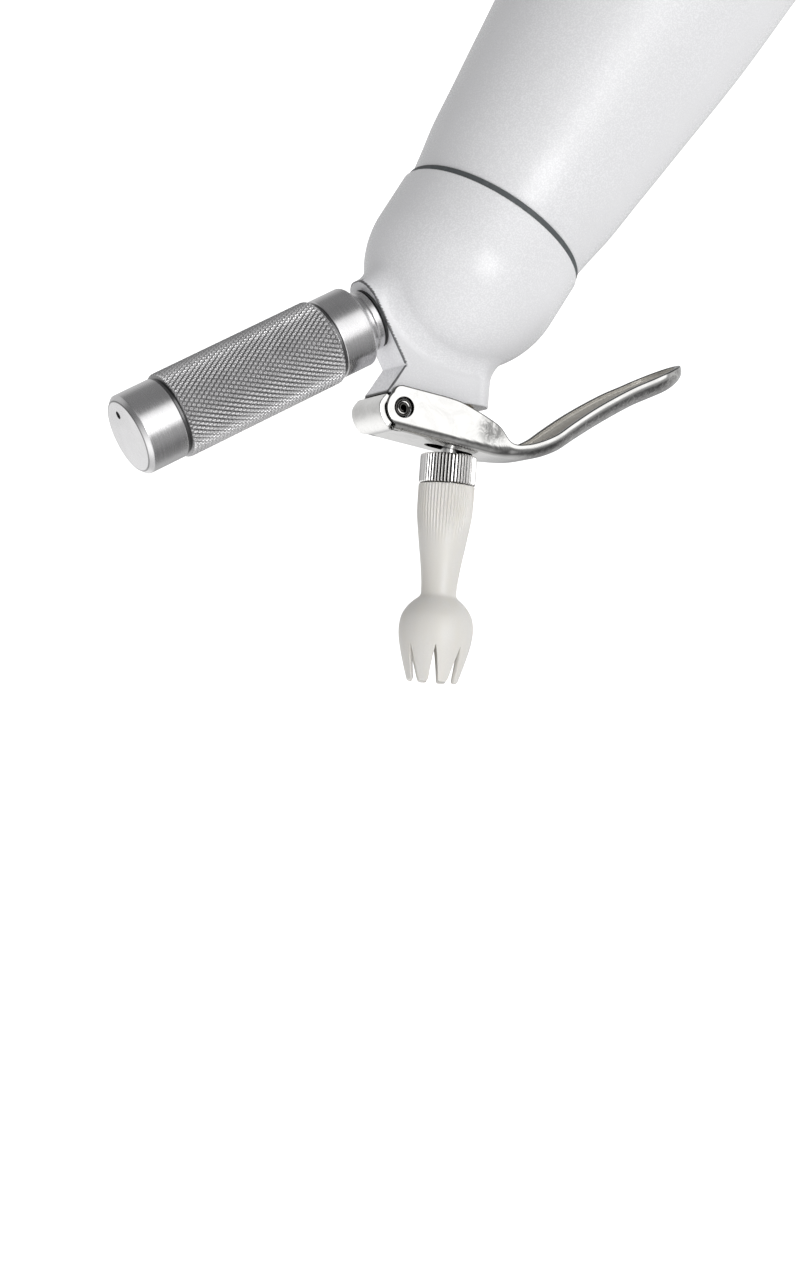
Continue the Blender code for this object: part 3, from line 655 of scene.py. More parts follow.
def head_distance(x, y, z, flat=None):
    if flat is None:
        flat = outline_distance(x, z, BOSS_IN) - EDGE
    r = np.hypot(x, y)
    dome = np.sqrt(r * r + np.maximum(z - 166.5, 0.0) ** 2) - 30.05
    dome = rmax(dome, SEAM_Z + 0.15 - z, 0.35)
    zz = z - PORT_Z
    q = -x * COS + zz * SIN
    p = x * COS + zz * SIN
    sc = x * SIN + zz * COS
    sn = -x * SIN + zz * COS
    ay = np.abs(y) - 8.6
    ends = np.maximum(rmax(-11.8 - q, ay, 7.6), rmax(-10.3 - p, ay, 7.6))
    boss = rmax(flat, ends, EDGE)
    body = rmin(dome, boss, 4.6)
    # inside: domed bore with its thread, two port bores, the lug's bore
    th = np.arctan2(y, x) / (2 * math.pi)
    groove = smoothstep(np.abs((z / THREAD - th) % 1.0 - 0.5), 0.30, 0.12) * smoothstep(z, 153.2, 154.4) \
        * smoothstep(z, 164.5, 163.2)
    bore = np.sqrt(r * r + np.maximum(z - 165.0, 0.0) ** 2) - 26.4 - 0.55 * groove
    bore = np.minimum(bore, (r - 26.4 - (153.0 - z) * 0.7) * 0.82)
    body = rmax(body, -bore, 0.3)
    body = rmax(body, 6.0 - np.hypot(p, y), 0.25)
    body = np.where(sc > 0, rmax(body, 7.0 - np.hypot(q, y), 0.25), body)
    body = rmax(body, 2.9 - np.hypot(x - PIVOT_X, z - PIVOT_Z), 0.2)
    return body


def surface_net(lo, hi, h):
    """Quad mesh of the head's surface on a grid of step h, then moved onto the exact surface."""
    n = [int(math.ceil((b - a) / h)) + 1 for a, b in zip(lo, hi)]
    ax = [lo[k] + h * np.arange(n[k]) for k in range(3)]
    gx, gz = np.meshgrid(ax[0], ax[2], indexing='ij')
    flat = (outline_distance(gx, gz, BOSS_IN) - EDGE)[:, None, :]
    val = np.empty(n, np.float32)
    for j in range(n[1]):
        yy = np.full(gx.shape, ax[1][j])
        val[:, j, :] = head_distance(gx, yy, gz, flat[:, 0, :])
    neg = val < 0
    cnt = np.zeros([k - 1 for k in n], np.int8)
    for dx in (0, 1):
        for dy in (0, 1):
            for dz in (0, 1):
                cnt += neg[dx:n[0] - 1 + dx, dy:n[1] - 1 + dy, dz:n[2] - 1 + dz]
    live = (cnt > 0) & (cnt < 8)
    idx = np.full(live.shape, -1, np.int64)
    cells = np.argwhere(live)
    idx[live] = np.arange(len(cells))
    acc = np.zeros((len(cells), 3))
    num = np.zeros(len(cells))
    ci, cj, ck = cells.T
    corners = [(a, b, c) for a in (0, 1) for b in (0, 1) for c in (0, 1)]
    for a in corners:
        for b in corners:
            if sum(abs(p - q) for p, q in zip(a, b)) != 1 or b < a:
                continue
            va = val[ci + a[0], cj + a[1], ck + a[2]]
            vb = val[ci + b[0], cj + b[1], ck + b[2]]
            hit = (va < 0) != (vb < 0)
            t = np.where(hit, va / np.where(hit, va - vb, 1.0), 0.0)
            pt = np.array(a)[None] + t[:, None] * (np.array(b) - np.array(a))[None]
            acc[hit] += pt[hit]
            num[hit] += 1
    pts = (cells + acc / num[:, None]) * h + np.array(lo)
    quads = []
    for axis in range(3):
        u, w = [k for k in range(3) if k != axis]
        sl0 = [slice(None)] * 3
        sl1 = [slice(None)] * 3
        sl0[axis] = slice(0, n[axis] - 1)
        sl1[axis] = slice(1, n[axis])
        n0, n1 = neg[tuple(sl0)], neg[tuple(sl1)]
        edges = np.argwhere(n0 != n1)
        ok = (edges[:, u] > 0) & (edges[:, w] > 0) & (edges[:, u] < n[u] - 1) & (edges[:, w] < n[w] - 1)
        edges = edges[ok]
        first = n0[tuple(edges.T)]
        e = [edges.copy() for _ in range(4)]
        e[1][:, u] -= 1
        e[2][:, u] -= 1
        e[2][:, w] -= 1
        e[3][:, w] -= 1
        q = np.stack([idx[tuple(x.T)] for x in e], 1)
        rev = first if axis != 1 else ~first
        q[rev] = q[rev][:, ::-1]
        quads.append(q)
    quads = np.concatenate(quads)

    def field(p):
        return head_distance(p[:, 0], p[:, 1], p[:, 2])

    def gradient(p, e=0.03):
        g = np.empty_like(p)
        for k in range(3):
            d = np.zeros(3)
            d[k] = e
            g[:, k] = (field(p + d) - field(p - d)) / (2 * e)
        return g

    # even out the net a little along the surface, then settle on it
    for step in range(3):
        s = np.zeros_like(pts)
        c = np.zeros(len(pts))
        for k in range(4):
            a, b = quads[:, k], quads[:, (k + 1) % 4]
            np.add.at(s, a, pts[b])
            np.add.at(c, a, 1)
            np.add.at(s, b, pts[a])
            np.add.at(c, b, 1)
        mid = s / c[:, None]
        g = gradient(pts)
        g /= np.maximum(np.linalg.norm(g, axis=1), 1e-6)[:, None]
        move = (mid - pts) * 0.5
        move -= g * np.einsum('ij,ij->i', move, g)[:, None]
        pts = pts + move
        f = field(pts)
        pts = pts - g * np.clip(f, -0.5 * h, 0.5 * h)[:, None]
    for step in range(2):
        g = gradient(pts)
        m = np.maximum((g * g).sum(1), 0.2)
        pts = pts - g * (np.clip(field(pts), -0.5 * h, 0.5 * h) / m)[:, None]
    g = gradient(pts, 0.06)
    g /= np.maximum(np.linalg.norm(g, axis=1), 1e-6)[:, None]
    # where the surface bends sharply outwards
    e = 0.28
    bend = -6.0 * field(pts)
    for k in range(3):
        d = np.zeros(3)
        d[k] = e
        bend += field(pts + d) + field(pts - d)
    return pts, quads, g, bend / (e * e)


def head_piece():
    h = 0.46
    v, q, nrm, bend = surface_net((-33.0, -32.0, 151.0), (33.0, 32.0, 222.0), h)
    out_n = -v[:, 0] * SIN + (v[:, 2] - PORT_Z) * COS
    # painted shade: near-black lines along the boss's sharp outward edges, kept off its face towards the nozzle
    edge = smoothstep(bend, 0.55, 1.5) * smoothstep(v[:, 2], 157.0, 160.0) * smoothstep(out_n, 38.6, 37.8)
    edge = np.maximum(edge, smoothstep(bend, 0.55, 1.5) * smoothstep(v[:, 0], -8.0, -4.0) * smoothstep(v[:, 2], 190.0, 196.0))
    # painted shade: black on the lug under the lever's hinge, where only the gaps beside the nose show it
    hinge = np.hypot(v[:, 0] - PIVOT_X, v[:, 2] - PIVOT_Z)
    crevice = smoothstep(hinge, 6.7, 6.45) * smoothstep(np.abs(v[:, 1]), 8.5, 8.3)
    # painted shade: the boss's flat sides are a little greyer than the dome, and more so towards the hinge
    flat = smoothstep(np.abs(nrm[:, 1]), 0.93, 0.995) * smoothstep(v[:, 2], 178.0, 204.0)
    # painted light: faces turned towards +x high on the boss are whitened
    build("head_shell", v, [q], UPRIGHT, HEAD_COAT, "head", "head_casting", normals=nrm,
          marks={"edge": edge, "crevice": crevice, "shade": flat,
                 "light": smoothstep(nrm[:, 0], 0.35, 0.5) * smoothstep(np.abs(nrm[:, 1]), 0.5, 0.2)
                 * smoothstep(v[:, 2], 188.0, 196.0)})


# ---------------------------------------------------------------- charger port
def washer_piece():
    v, f = sweep(rounded([(7.35, 33.25, 0.15), (7.35, 34.0, 0.15), (9.0, 34.0, 0.2), (9.0, 33.25, 0.2)], 22.0), 128,
                 closed=True)
    build("washer_ring", v, f, CHARGER, BLACK_RUBBER, "head", "adapter_washer")


def charger_adapter_piece():
    prof = rounded([(4.8, 48.2, 0.3), (8.7, 48.2, 0.3), (9.3, 47.5, 0.2), (9.3, 38.0, 0.25), (8.85, 37.55, 0.15),
                    (8.85, 36.75, 0.15), (9.3, 36.3, 0.25), (9.3, 34.7, 0.3), (9.0, 34.4, 0.1), (6.7, 34.4, 0.1),
                    (6.7, 24.9), (6.3, 24.5), (4.3, 24.5), (4.3, 28.5), (1.0, 28.5), (1.0, 35.6), (2.5, 35.6),
                    (2.5, 39.0), (1.6, 39.0), (1.6, 41.0), (4.8, 41.0)], 15.0)
    prof = refine(prof, 38.0, 47.4, 0.25)

    def carve(t, z, r, i):
        if r[0] > 9.2 and 38.8 < z[0] < 47.2:
            ph = np.abs((z / 1.5 - t / (2 * math.pi)) % 1.0 - 0.5)
            return r - 0.5 * smoothstep(ph, 0.12, 0.42) * smoothstep(z, 38.8, 40.2)
        return r

    v, f = sweep(prof, 160, carve, closed=True)
    build("adapter_stub", v, f, CHARGER, ALUMINIUM, "head", "charger_adapter")


KNURL_N = 54              # grooves of each hand
KNURL_LEAD = 2.5          # length along the axis of one groove's pitch


def holder_piece():
    """Turned tube with a diamond knurl whose grooves run exactly through the mesh's diagonals."""
    m = 3
    seg = KNURL_N * 2 * m
    dz = KNURL_LEAD / (2 * m)
    z0, z1 = 50.8, 103.4
    count = int(round((z1 - z0) / dz))
    z1 = z0 + count * dz
    barrel, top = 12.2, 13.0
    out_end = rounded([(0.0, 117.2), (10.85, 117.2, 0.35), (12.2, 115.9, 0.5), (12.2, z1 + 1.35, 0.3),
                       (11.75, z1 + 1.05, 0.12), (11.75, z1 + 0.28, 0.0)], 15.0, closed=False)
    in_end = rounded([(11.75, z0 - 0.28, 0.0), (11.75, z0 - 1.05, 0.12), (12.2, z0 - 1.35, 0.3), (12.2, 41.2, 0.0),
                      (12.2, 39.0, 2.0), (9.85, 39.0, 0.4), (9.85, 50.0), (9.45, 51.0), (9.45, 108.2, 0.8),
                      (0.0, 109.0)], 12.0, closed=False)
    knurl = [(top, z1 - k * dz) for k in range(count + 1)]
    prof = out_end + knurl + in_end
    a, b = len(out_end), len(out_end) + len(knurl)
    unit = 0.5 / m

    def carve(t, z, r, i):
        if not a <= i < b:
            return r
        j = count - (i - a)                    # rows counted from z0
        col = np.arange(seg)
        u = (col + j) * unit
        w = (col - j) * unit
        tri = np.minimum(np.abs(u - np.round(u)), np.abs(w - np.round(w))) * 2.0
        # flat tops, straight flanks, height 0.5 mm
        high = 0.5 * np.minimum(2.0 * tri, 1.0)
        end = min(z[0] - z0, z1 - z[0])
        cap = 0.5 * min(1.0, 0.1 + end / 0.75)
        return (top - 0.5) + np.minimum(high, cap)

    v, polys = sweep(prof, seg, carve, closed=False)
    # triangles of the knurl follow its grooves
    quads = polys[0]
    base_k = 1 + (a - 1) * seg                 # first profile point is the axis vertex
    in_k = (quads.min(1) >= base_k) & (quads.max(1) < base_k + (b - a) * seg)
    kq = quads[in_k]
    rad = np.hypot(v[:, 0], v[:, 1])
    d1 = rad[kq[:, 0]] + rad[kq[:, 2]]
    d2 = rad[kq[:, 1]] + rad[kq[:, 3]]
    first = d1 <= d2
    t1 = np.concatenate([kq[first][:, [0, 1, 2]], kq[first][:, [0, 2, 3]]])
    t2 = np.concatenate([kq[~first][:, [0, 1, 3]], kq[~first][:, [1, 2, 3]]])
    tris = [p for p in polys[1:]] + [t1, t2]
    # painted shade: darker in the knurl's grooves, in the relief rings beside it and along the closed end's edge
    low = 0.62 * smoothstep(rad, 12.78, 12.5) * (v[:, 2] >= z0 - 0.01) * (v[:, 2] <= z1 + 0.01)
    for z in (z0 - 0.66, z1 + 0.66):
        low = np.maximum(low, 0.85 * smoothstep(np.abs(v[:, 2] - z), 0.66, 0.35) * (rad > 11.0))
    low = np.maximum(low, 0.75 * smoothstep(np.hypot(rad - 10.85, v[:, 2] - 117.2), 0.42, 0.16))
    ob = build("holder_tube", v, [quads[~in_k]] + [np.concatenate(tris)], CHARGER, ALUMINIUM, "charger_holder",
               "charger_holder", 24.0, marks={"painted_shading": low})
    # vent hole through the closed end
    cv, cf = tube_cut(1.2, 105.0, 125.0, 32, x=6.6)
    boolean(ob, cv, cf, CHARGER, "vent")
    ob.data.materials.clear()
    ob.data.materials.append(ALUMINIUM)
    return ob


# ---------------------------------------------------------------- nozzle valve and nozzle
def stem_piece():
    prof = rounded([(0.0, 21.0), (1.5, 21.4, 0.2), (1.5, 62.4, 0.2), (2.9, 62.4, 0.15), (3.2, 62.1, 0.15),
                    (3.2, 55.6, 0.2), (2.5, 55.0, 0.2), (2.5, 50.7, 0.05), (2.1, 50.6, 0.05), (2.1, 49.8, 0.05),
                    (2.5, 49.7, 0.05), (2.5, 16.2, 0.1), (2.2, 15.9, 0.1), (0.0, 15.9)], 20.0, closed=False)
    v, f = sweep(prof, 72, closed=False)
    ob = build("stem_rod", v, f, NOZZLE, STEM_STEEL, "valve_stem", "valve_stem")
    for k, turn in enumerate((0.0, 90.0)):
        cross = NOZZLE @ Matrix.Translation((0, 0, 23.2 * MM)) @ Matrix.Rotation(math.radians(turn), 4, 'Z') \
            @ Matrix.Rotation(math.radians(90.0), 4, 'Y')
        cv, cf = tube_cut(1.0, -6.0, 6.0, 24)
        boolean(ob, cv, cf, cross, "stem_port_%d" % k)


RIBS = 50


def collar_piece():
    prof = rounded([(2.0, 71.0, 0.1), (4.6, 71.0, 0.15), (5.0, 70.6, 0.15), (5.0, 63.3, 0.1), (8.1, 63.3, 0.12),
                    (8.4, 63.0, 0.12), (8.4, 55.1, 0.3), (7.9, 54.6, 0.3), (3.6, 54.6, 0.2), (3.6, 63.8), (2.0, 63.8)],
                   15.0)
    prof = refine(prof, 55.0, 63.1, 0.9)

    def carve(t, z, r, i):
        if r[0] < 7.0:
            return r
        ph = np.abs((t * RIBS / (2 * math.pi)) % 1.0 - 0.5) * 2.0
        depth = 0.62 * smoothstep(r, 7.2, 8.0)
        return r - depth * np.clip((ph - 0.3) / 0.6, 0.0, 1.0)

    v, f = sweep(prof, RIBS * 10, carve, closed=True)
    # painted shade: dark in the grooves between the collar's ribs
    rad = np.hypot(v[:, 0], v[:, 1])
    ph = np.abs((np.arctan2(v[:, 1], v[:, 0]) * RIBS / (2 * math.pi)) % 1.0 - 0.5) * 2.0
    build("nozzle_collar", v, f, NOZZLE, COLLAR_ALU, "nozzle", "nozzle_adapter", 40.0,
          marks={"painted_shading": smoothstep(rad, 7.0, 7.3) * smoothstep(ph, 0.45, 0.85)})


def tip_piece():
    outer = through([(8.35, 64.3), (8.32, 68.0), (8.12, 73.0), (7.15, 80.0), (6.1, 86.7), (5.5, 91.5), (5.25, 94.9),
                     (5.3, 96.2), (5.85, 97.1), (7.2, 98.2), (8.75, 99.8), (10.1, 101.9), (10.75, 103.9), (11.0, 106.6),
                     (10.75, 109.7), (10.05, 113.0), (9.1, 116.6), (7.7, 121.4)], 6)
    inner = through([(6.7, 121.4), (8.2, 115.8), (9.5, 110.6), (9.95, 106.6), (9.3, 103.0), (6.8, 99.9), (3.8, 97.8),
                     (3.2, 95.4)], 5)
    end = arc(7.8, 121.45, 0.55, 0.0, 180.0, 6)[1:-1]
    foot = [(5.35, 63.6), (8.1, 63.6), (8.27, 63.68), (8.35, 63.95)]
    prof = (foot + [tuple(p) for p in outer] + end + [tuple(p) for p in inner]
            + [(3.2, 84.0), (3.5, 72.6), (5.35, 71.6)])
    i_end = len(foot) + len(outer)
    i_in = i_end + len(end)
    back = inner[::-1]

    def r_out(z):
        return np.interp(z, outer[:, 1], outer[:, 0])

    def r_in(z):
        return np.interp(z, back[:, 1], back[:, 0])

    def top(t):
        # eight petals: between them a narrow V reaches up to s = 112
        step = math.pi / 4
        off = np.abs((t - math.pi / 8 + step / 2) % step - step / 2) * 9.2
        cut = 111.6 + (np.sqrt(off * off + 0.01) - 0.1) / 0.165
        return 0.5 * (cut + 122.1 - np.sqrt((cut - 122.1) ** 2 + 1.6))

    def height(t, z, i):
        """Height of a profile point after the petals are cut."""
        if i_end <= i < i_in:
            a = math.pi * (i - i_end + 1) / 6
            return top(t) - 0.55 + 0.55 * math.sin(a)
        if i < i_in + len(inner) and z[0] > 108.0:
            return 108.0 + (z - 108.0) * (top(t) - 0.55 - 108.0) / 13.4
        return z

    def carve(t, z, r, i):
        if i_end <= i < i_in:
            a = math.pi * (i - i_end + 1) / 6
            z1 = top(t) - 0.55
            return (r_out(z1) + r_in(z1)) / 2 + (r_out(z1) - r_in(z1)) / 2 * math.cos(a)
        if z[0] > 108.0:
            return r_out(height(t, z, i)) if i < i_end else r_in(height(t, z, i))
        if r[0] < 6.0 or z[0] > 82 or i >= i_end:
            return r
        depth = 0.34 * smoothstep(z, 79.5, 71.0) + 0.06 * smoothstep(z, 82.0, 79.0)
        if i <= 2:
            depth = depth * 0.7
        return r - depth * (0.5 - 0.5 * np.cos(t * RIBS))

    v, f = sweep(prof, RIBS * (12), carve, closed=True, z_of=height)
    build("piping_tip", v, f, NOZZLE, IVORY, "nozzle", "nozzle_tip", 40.0)


# ---------------------------------------------------------------- lever
SHEET = 1.8
HALF = 11.0
WEB_R = 6.8
SLOPE = math.radians(6.4)
LIP = 0.3                   # rounding of the sheet's cut edges

web_dir = np.array([-math.sin(SLOPE), math.cos(SLOPE)])       # (s, p), along the web towards the hinge end
web_out = np.array([math.cos(SLOPE), math.sin(SLOPE)])        # (s, p), out of the web
pivot_sp = np.array([PIVOT_S, PIVOT_P])
web0 = pivot_sp + WEB_R * web_out


def web_point(p):
    t = (web0[1] - p) / math.cos(SLOPE)
    return (web0[0] + t * math.sin(SLOPE), p)


def lever_piece():
    pts = [web_point(9.0), web_point(4.0), web_point(-1.0), web_point(-6.0), web_point(-11.0), (54.2, -15.5),
           (53.9, -20.8), (52.5, -26.5), (49.8, -32.7), (45.8, -38.2), (41.4, -44.3), (37.0, -50.8), (32.9, -57.3),
           (29.8, -63.2), (27.3, -68.1), (25.5, -71.9), (23.8, -76.1)]
    rim = [13.1, 12.8, 11.6, 10.1, 8.0, 4.3, 4.2, 4.6, 5.1, 5.4, 5.6, 5.6, 5.5, 5.5, 5.7, 6.1, 6.5]
    cor = [2.6, 2.6, 2.6, 2.7, 2.9, 3.8, 5.2, 6.4, 8.2, 8.8, 9.0, 9.0, 9.0, 8.8, 8.6, 8.4, 8.2]
    n = 9
    line = through(np.c_[np.array(pts), rim, cor], n)
    ds = np.linalg.norm(np.diff(line[:, :2], axis=0), axis=1)
    along = np.concatenate([[0], np.cumsum(ds)])

    # rails across the half section, as lengths from the rim where the channel is deepest
    full = [0.0, 0.35, 0.75, 1.2, 1.8, 2.5, 3.3, 4.2, 5.1, 6.0, 7.0, 8.0, 9.0, 9.8, 10.5]
    side_len = 13.1 - LIP - 2.6
    full = [x * side_len / 10.5 for x in full]
    bend = [side_len + math.pi * 2.6 / 2 * k / 8 for k in range(1, 9)]
    flat = [bend[-1] + (HALF - 2.6) * k for k in (0.12, 0.3, 0.5, 0.7, 0.85, 1.0)]
    total = flat[-1]
    frac = np.array(full + bend + flat) / total
    n_bend = len(full) + len(bend) - 1                         # rail where the flat web starts

    def half_section(h, a):
        """(y, depth) at the rails, from the rim to the middle."""
        h = h - LIP
        b = min(a, h - 0.7)
        k = np.radians(np.linspace(0, 90, 60))
        cy = HALF - a + a * np.cos(k)
        cd = b - b * np.sin(k)
        y = np.concatenate([[HALF, HALF], cy[1:], [0.0]])
        d = np.concatenate([[h, b], cd[1:], [0.0]])
        s = np.concatenate([[0], np.cumsum(np.hypot(np.diff(y), np.diff(d)))])
        f = frac * s[-1]
        return np.interp(f, s, y), np.interp(f, s, d)

    def at(length):
        """Line point, inward direction, rim and corner at a length along the line."""
        q = [np.interp(length, along, line[:, k]) for k in range(4)]
        e = 0.6
        a = np.array([np.interp(length - e, along, line[:, k]) for k in range(2)])
        b = np.array([np.interp(length + e, along, line[:, k]) for k in range(2)])
        if length - e < 0:
            a, b = np.zeros(2), -web_dir
        elif length + e > along[-1]:
            b = np.array(line[-1, :2])
            a = np.array([np.interp(along[-1] - 2 * e, along, line[:, k]) for k in range(2)])
        t = (b - a) / np.linalg.norm(b - a)
        inward = np.array([t[1], -t[0]])
        if inward[0] > 0:
            inward = -inward
        return np.array(q[:2]), inward, q[2], q[3]

    verts, cache = [], {}

    def vert(p, y, s):
        key = (round(p, 4), round(y, 4), round(s, 4))
        if key not in cache:
            cache[key] = len(verts)
            verts.append((p, y, s))
        return cache[key]

    quads, tris = [], []

    def quad(a, b, c, d):
        ids = []
        for x in (a, b, c, d):
            if x not in ids:
                ids.append(x)
        if len(ids) == 4:
            quads.append(ids)
        elif len(ids) == 3:
            tris.append(ids)

    def grid(rows):
        for r0, r1 in zip(rows[:-1], rows[1:]):
            for j in range(len(r0) - 1):
                quad(r0[j], r0[j + 1], r1[j + 1], r1[j])

    def web_zone(xi, y, d):
        q = pivot_sp + xi * web_dir + (WEB_R - d) * web_out
        return vert(q[1], y, q[0])

    # cheeks' and bends' hinge end, as a function of depth under the web
    rim0 = 13.1 - LIP

    def cheek_end(d):
        e = d - WEB_R
        if e > 3.6:
            x = 4.16 - (e - 3.6) / 8.2 * 1.55
        elif abs(e) < 5.5:
            x = math.sqrt(5.5 ** 2 - e * e)
        else:
            x = 0.0
        x = max(x, 1.7) - LIP
        if d > rim0 - 1.9:
            x -= 1.9 - math.sqrt(max(0.0, 1.9 ** 2 - (d - rim0 + 1.9) ** 2))
        return x

    yh, dh = half_section(13.1, 2.6)
    xi_a = -(PIVOT_P - 9.0) / math.cos(SLOPE) - WEB_R * math.sin(SLOPE) / math.cos(SLOPE)
    xi_a = float((np.array(pts[0]) - web0) @ web_dir)
    slit = -0.9
    fixed = list(np.linspace(xi_a, slit, 13))
    rows = []
    for xi in fixed:
        left = [web_zone(xi, -y, d) for y, d in zip(yh, dh)]
        right = [web_zone(xi, y, d) for y, d in zip(yh[:-1], dh[:-1])]
        rows.append(left + right[::-1])
    grid(rows)
    # the cheeks beyond the slit's start
    for side in (-1, 1):
        rr = []
        for v in np.linspace(0, 1, 13):
            v = v ** 0.9
            row = []
            for j in range(n_bend + 1):
                y, d = yh[j], dh[j]
                xi = slit + (cheek_end(d) - slit) * v
                if j >= n_bend - 3:
                    open_ = float(smoothstep(xi, slit, slit + 0.7)) * (1.0, 0.75, 0.45, 0.2)[n_bend - j]
                    ang = math.pi / 2 - 0.42 / 2.6 * open_
                    if j == n_bend:
                        y, d = HALF - 2.6 + 2.6 * math.cos(ang), 2.6 - 2.6 * math.sin(ang)
                    else:
                        a0 = math.atan2(2.6 - d, y - (HALF - 2.6))
                        ang = a0 - 0.42 / 2.6 * open_
                        y, d = HALF - 2.6 + 2.6 * math.cos(ang), 2.6 - 2.6 * math.sin(ang)
                row.append(web_zone(xi, side * y, d))
            rr.append(row)
        grid(rr)
    # nose: the flat web goes on round the hinge between the cheeks
    ys = list(-yh[n_bend:]) + list(yh[n_bend:-1][::-1])
    rr = [[web_zone(slit, y, 0.0) for y in ys]]

    def pinch(y, amount):
        edge = HALF - 2.6
        return y * (1.0 - 0.5 / edge * amount)

    for xi in np.linspace(slit, 0.0, 4)[1:]:
        rr.append([web_zone(xi, pinch(y, float(smoothstep(xi, slit, slit + 0.7))), 0.0) for y in ys])
    last = 121.4 - 6.4 - math.degrees(LIP / WEB_R)
    for k in range(1, 61):
        a = math.radians(last * k / 60)
        # wider and fuller once it is past the cheeks' corners, drawn in again at its end
        nose_r = WEB_R + 0.8 * float(smoothstep(a, 0.05, 0.5)) - 0.9 * float(smoothstep(a, 1.42, 2.0))
        wide = 1.0 + 2.3 / 7.9 * float(smoothstep(a, 0.30, 0.52))
        q = pivot_sp + nose_r * (math.sin(a) * web_dir + math.cos(a) * web_out)
        rr.append([vert(q[1], pinch(y, 1.0) * wide, q[0]) for y in ys])
    grid(rr)
    # from the web down to the finger tab
    centre = along[-1] - HALF - 0.3
    stations = [x for x in np.arange(0.0, centre - 0.5, 0.85)] + [centre]
    rows = []
    for x in stations:
        c, inward, h, a = at(x)
        yy, dd = half_section(h, a)
        row = []
        for sgn, seq in ((-1, range(len(yy))), (1, range(len(yy) - 2, -1, -1))):
            for j in seq:
                q = c + inward * dd[j]
                row.append(vert(q[1], sgn * yy[j], q[0]))
        rows.append(row)
    grid(rows)
    # rounded finger end: the half section swung about its middle
    _, _, h_c, a_c = at(centre)
    fan = []
    steps = 40
    for k in range(steps + 1):
        phi = math.pi * k / steps
        h = h_c + (6.3 - h_c) * math.sin(phi) ** 2
        yy, dd = half_section(h, a_c)
        row = []
        for j in range(len(yy)):
            c, inward, _, _ = at(centre + yy[j] * math.sin(phi))
            q = c + inward * dd[j]
            row.append(vert(q[1], yy[j] * math.cos(phi), q[0]))
        fan.append(row)
    grid(fan)

    v = np.array(verts)
    # one winding for all faces: normals point out of the web
    faces = [list(q) for q in quads] + [list(t) for t in tris]
    bm = bmesh.new()
    bv = [bm.verts.new(p) for p in v]
    for f in faces:
        try:
            bm.faces.new([bv[i] for i in f])
        except ValueError:
            pass
    bmesh.ops.recalc_face_normals(bm, faces=bm.faces)
    bm.normal_update()
    ref = bv[rows[2][len(rows[2]) // 2]]
    if ref.normal.z < 0:
        bmesh.ops.reverse_faces(bm, faces=bm.faces)
        bm.normal_update()
    bm.verts.index_update()
    co = np.array([x.co for x in bm.verts])
    nrm = np.array([x.normal for x in bm.verts])
    poly = [[x.index for x in f.verts] for f in bm.faces]
    outer_n = len(co)
    inner = co - nrm * SHEET
    push = np.zeros_like(co)
    border = []
    for e in bm.edges:
        if len(e.link_faces) == 1:
            f = e.link_faces[0]
            lp = e.link_loops[0]
            a, b = lp.vert.index, lp.link_loop_next.vert.index
            out = np.cross(co[b] - co[a], np.array(f.normal))
            out /= max(1e-9, np.linalg.norm(out))
            push[a] += out
            push[b] += out
            border.append((a, b))
    bm.free()
    length = np.linalg.norm(push, axis=1)
    on = length > 1e-6
    push[on] /= length[on][:, None]
    ids = np.full(outer_n, -1)
    ids[on] = np.arange(on.sum())
    m = int(on.sum())
    base, nn, ee = co[on], nrm[on], push[on]
    rings = []
    for a in (30.0, 60.0, 90.0):
        a = math.radians(a)
        rings.append(base + ee * LIP * math.sin(a) - nn * LIP * (1 - math.cos(a)))
    for a in (90.0, 60.0, 30.0):
        a = math.radians(a)
        rings.append(base + ee * LIP * math.sin(a) - nn * (SHEET - LIP * (1 - math.cos(a))))
    allv = np.concatenate([co, inner] + rings)
    polys4 = [p for p in poly if len(p) == 4]
    polys3 = [p for p in poly if len(p) == 3]
    p4 = np.array(polys4)
    p3 = np.array(polys3) if polys3 else np.zeros((0, 3), int)
    edge_quads = []
    levels = [None] + [2 * outer_n + k * m for k in range(6)] + [None]
    for a, b in border:
        chain_a = [a] + [levels[k] + ids[a] for k in range(1, 7)] + [outer_n + a]
        chain_b = [b] + [levels[k] + ids[b] for k in range(1, 7)] + [outer_n + b]
        for k in range(7):
            edge_quads.append((chain_b[k], chain_a[k], chain_a[k + 1], chain_b[k + 1]))
    p4 = np.concatenate([p4, outer_n + p4[:, ::-1], np.array(edge_quads)])
    p3 = np.concatenate([p3, outer_n + p3[:, ::-1]])
    # under: the tab's outer surface below its side walls, darkened there with painted shade; inside: the tab's dish
    tab = smoothstep(co[:, 0], -14.0, -24.0)
    under = np.zeros(len(allv))
    under[:outer_n] = tab * smoothstep(np.abs(nrm[:, 1]), 0.975, 0.90)
    dish = np.zeros(len(allv))
    dish[outer_n:2 * outer_n] = smoothstep(co[:, 0], -8.0, -14.0)
    # painted shade along the cut edges: lip darkens the edge rings and the rims beside them
    lip = np.zeros(len(allv))
    lip[2 * outer_n:] = np.repeat([1.0, 1.0, 1.0, 1.0, 1.0, 1.0], m)
    lip[:outer_n][on] = 0.75
    lip[outer_n:2 * outer_n][on] = 0.75
    # the nose's own edges stay bright, with a thin line of painted shade where they start
    nose = (np.abs(base[:, 1]) < 10.5) & ((base[:, [2, 0]] - pivot_sp) @ web_dir > 1.75)
    for k, value in enumerate((0.62, 0.0, 0.0, 0.0, 0.3, 1.0)):
        lip[2 * outer_n + k * m:2 * outer_n + (k + 1) * m][nose] = value
    lip[np.flatnonzero(on)[nose]] = 0.0
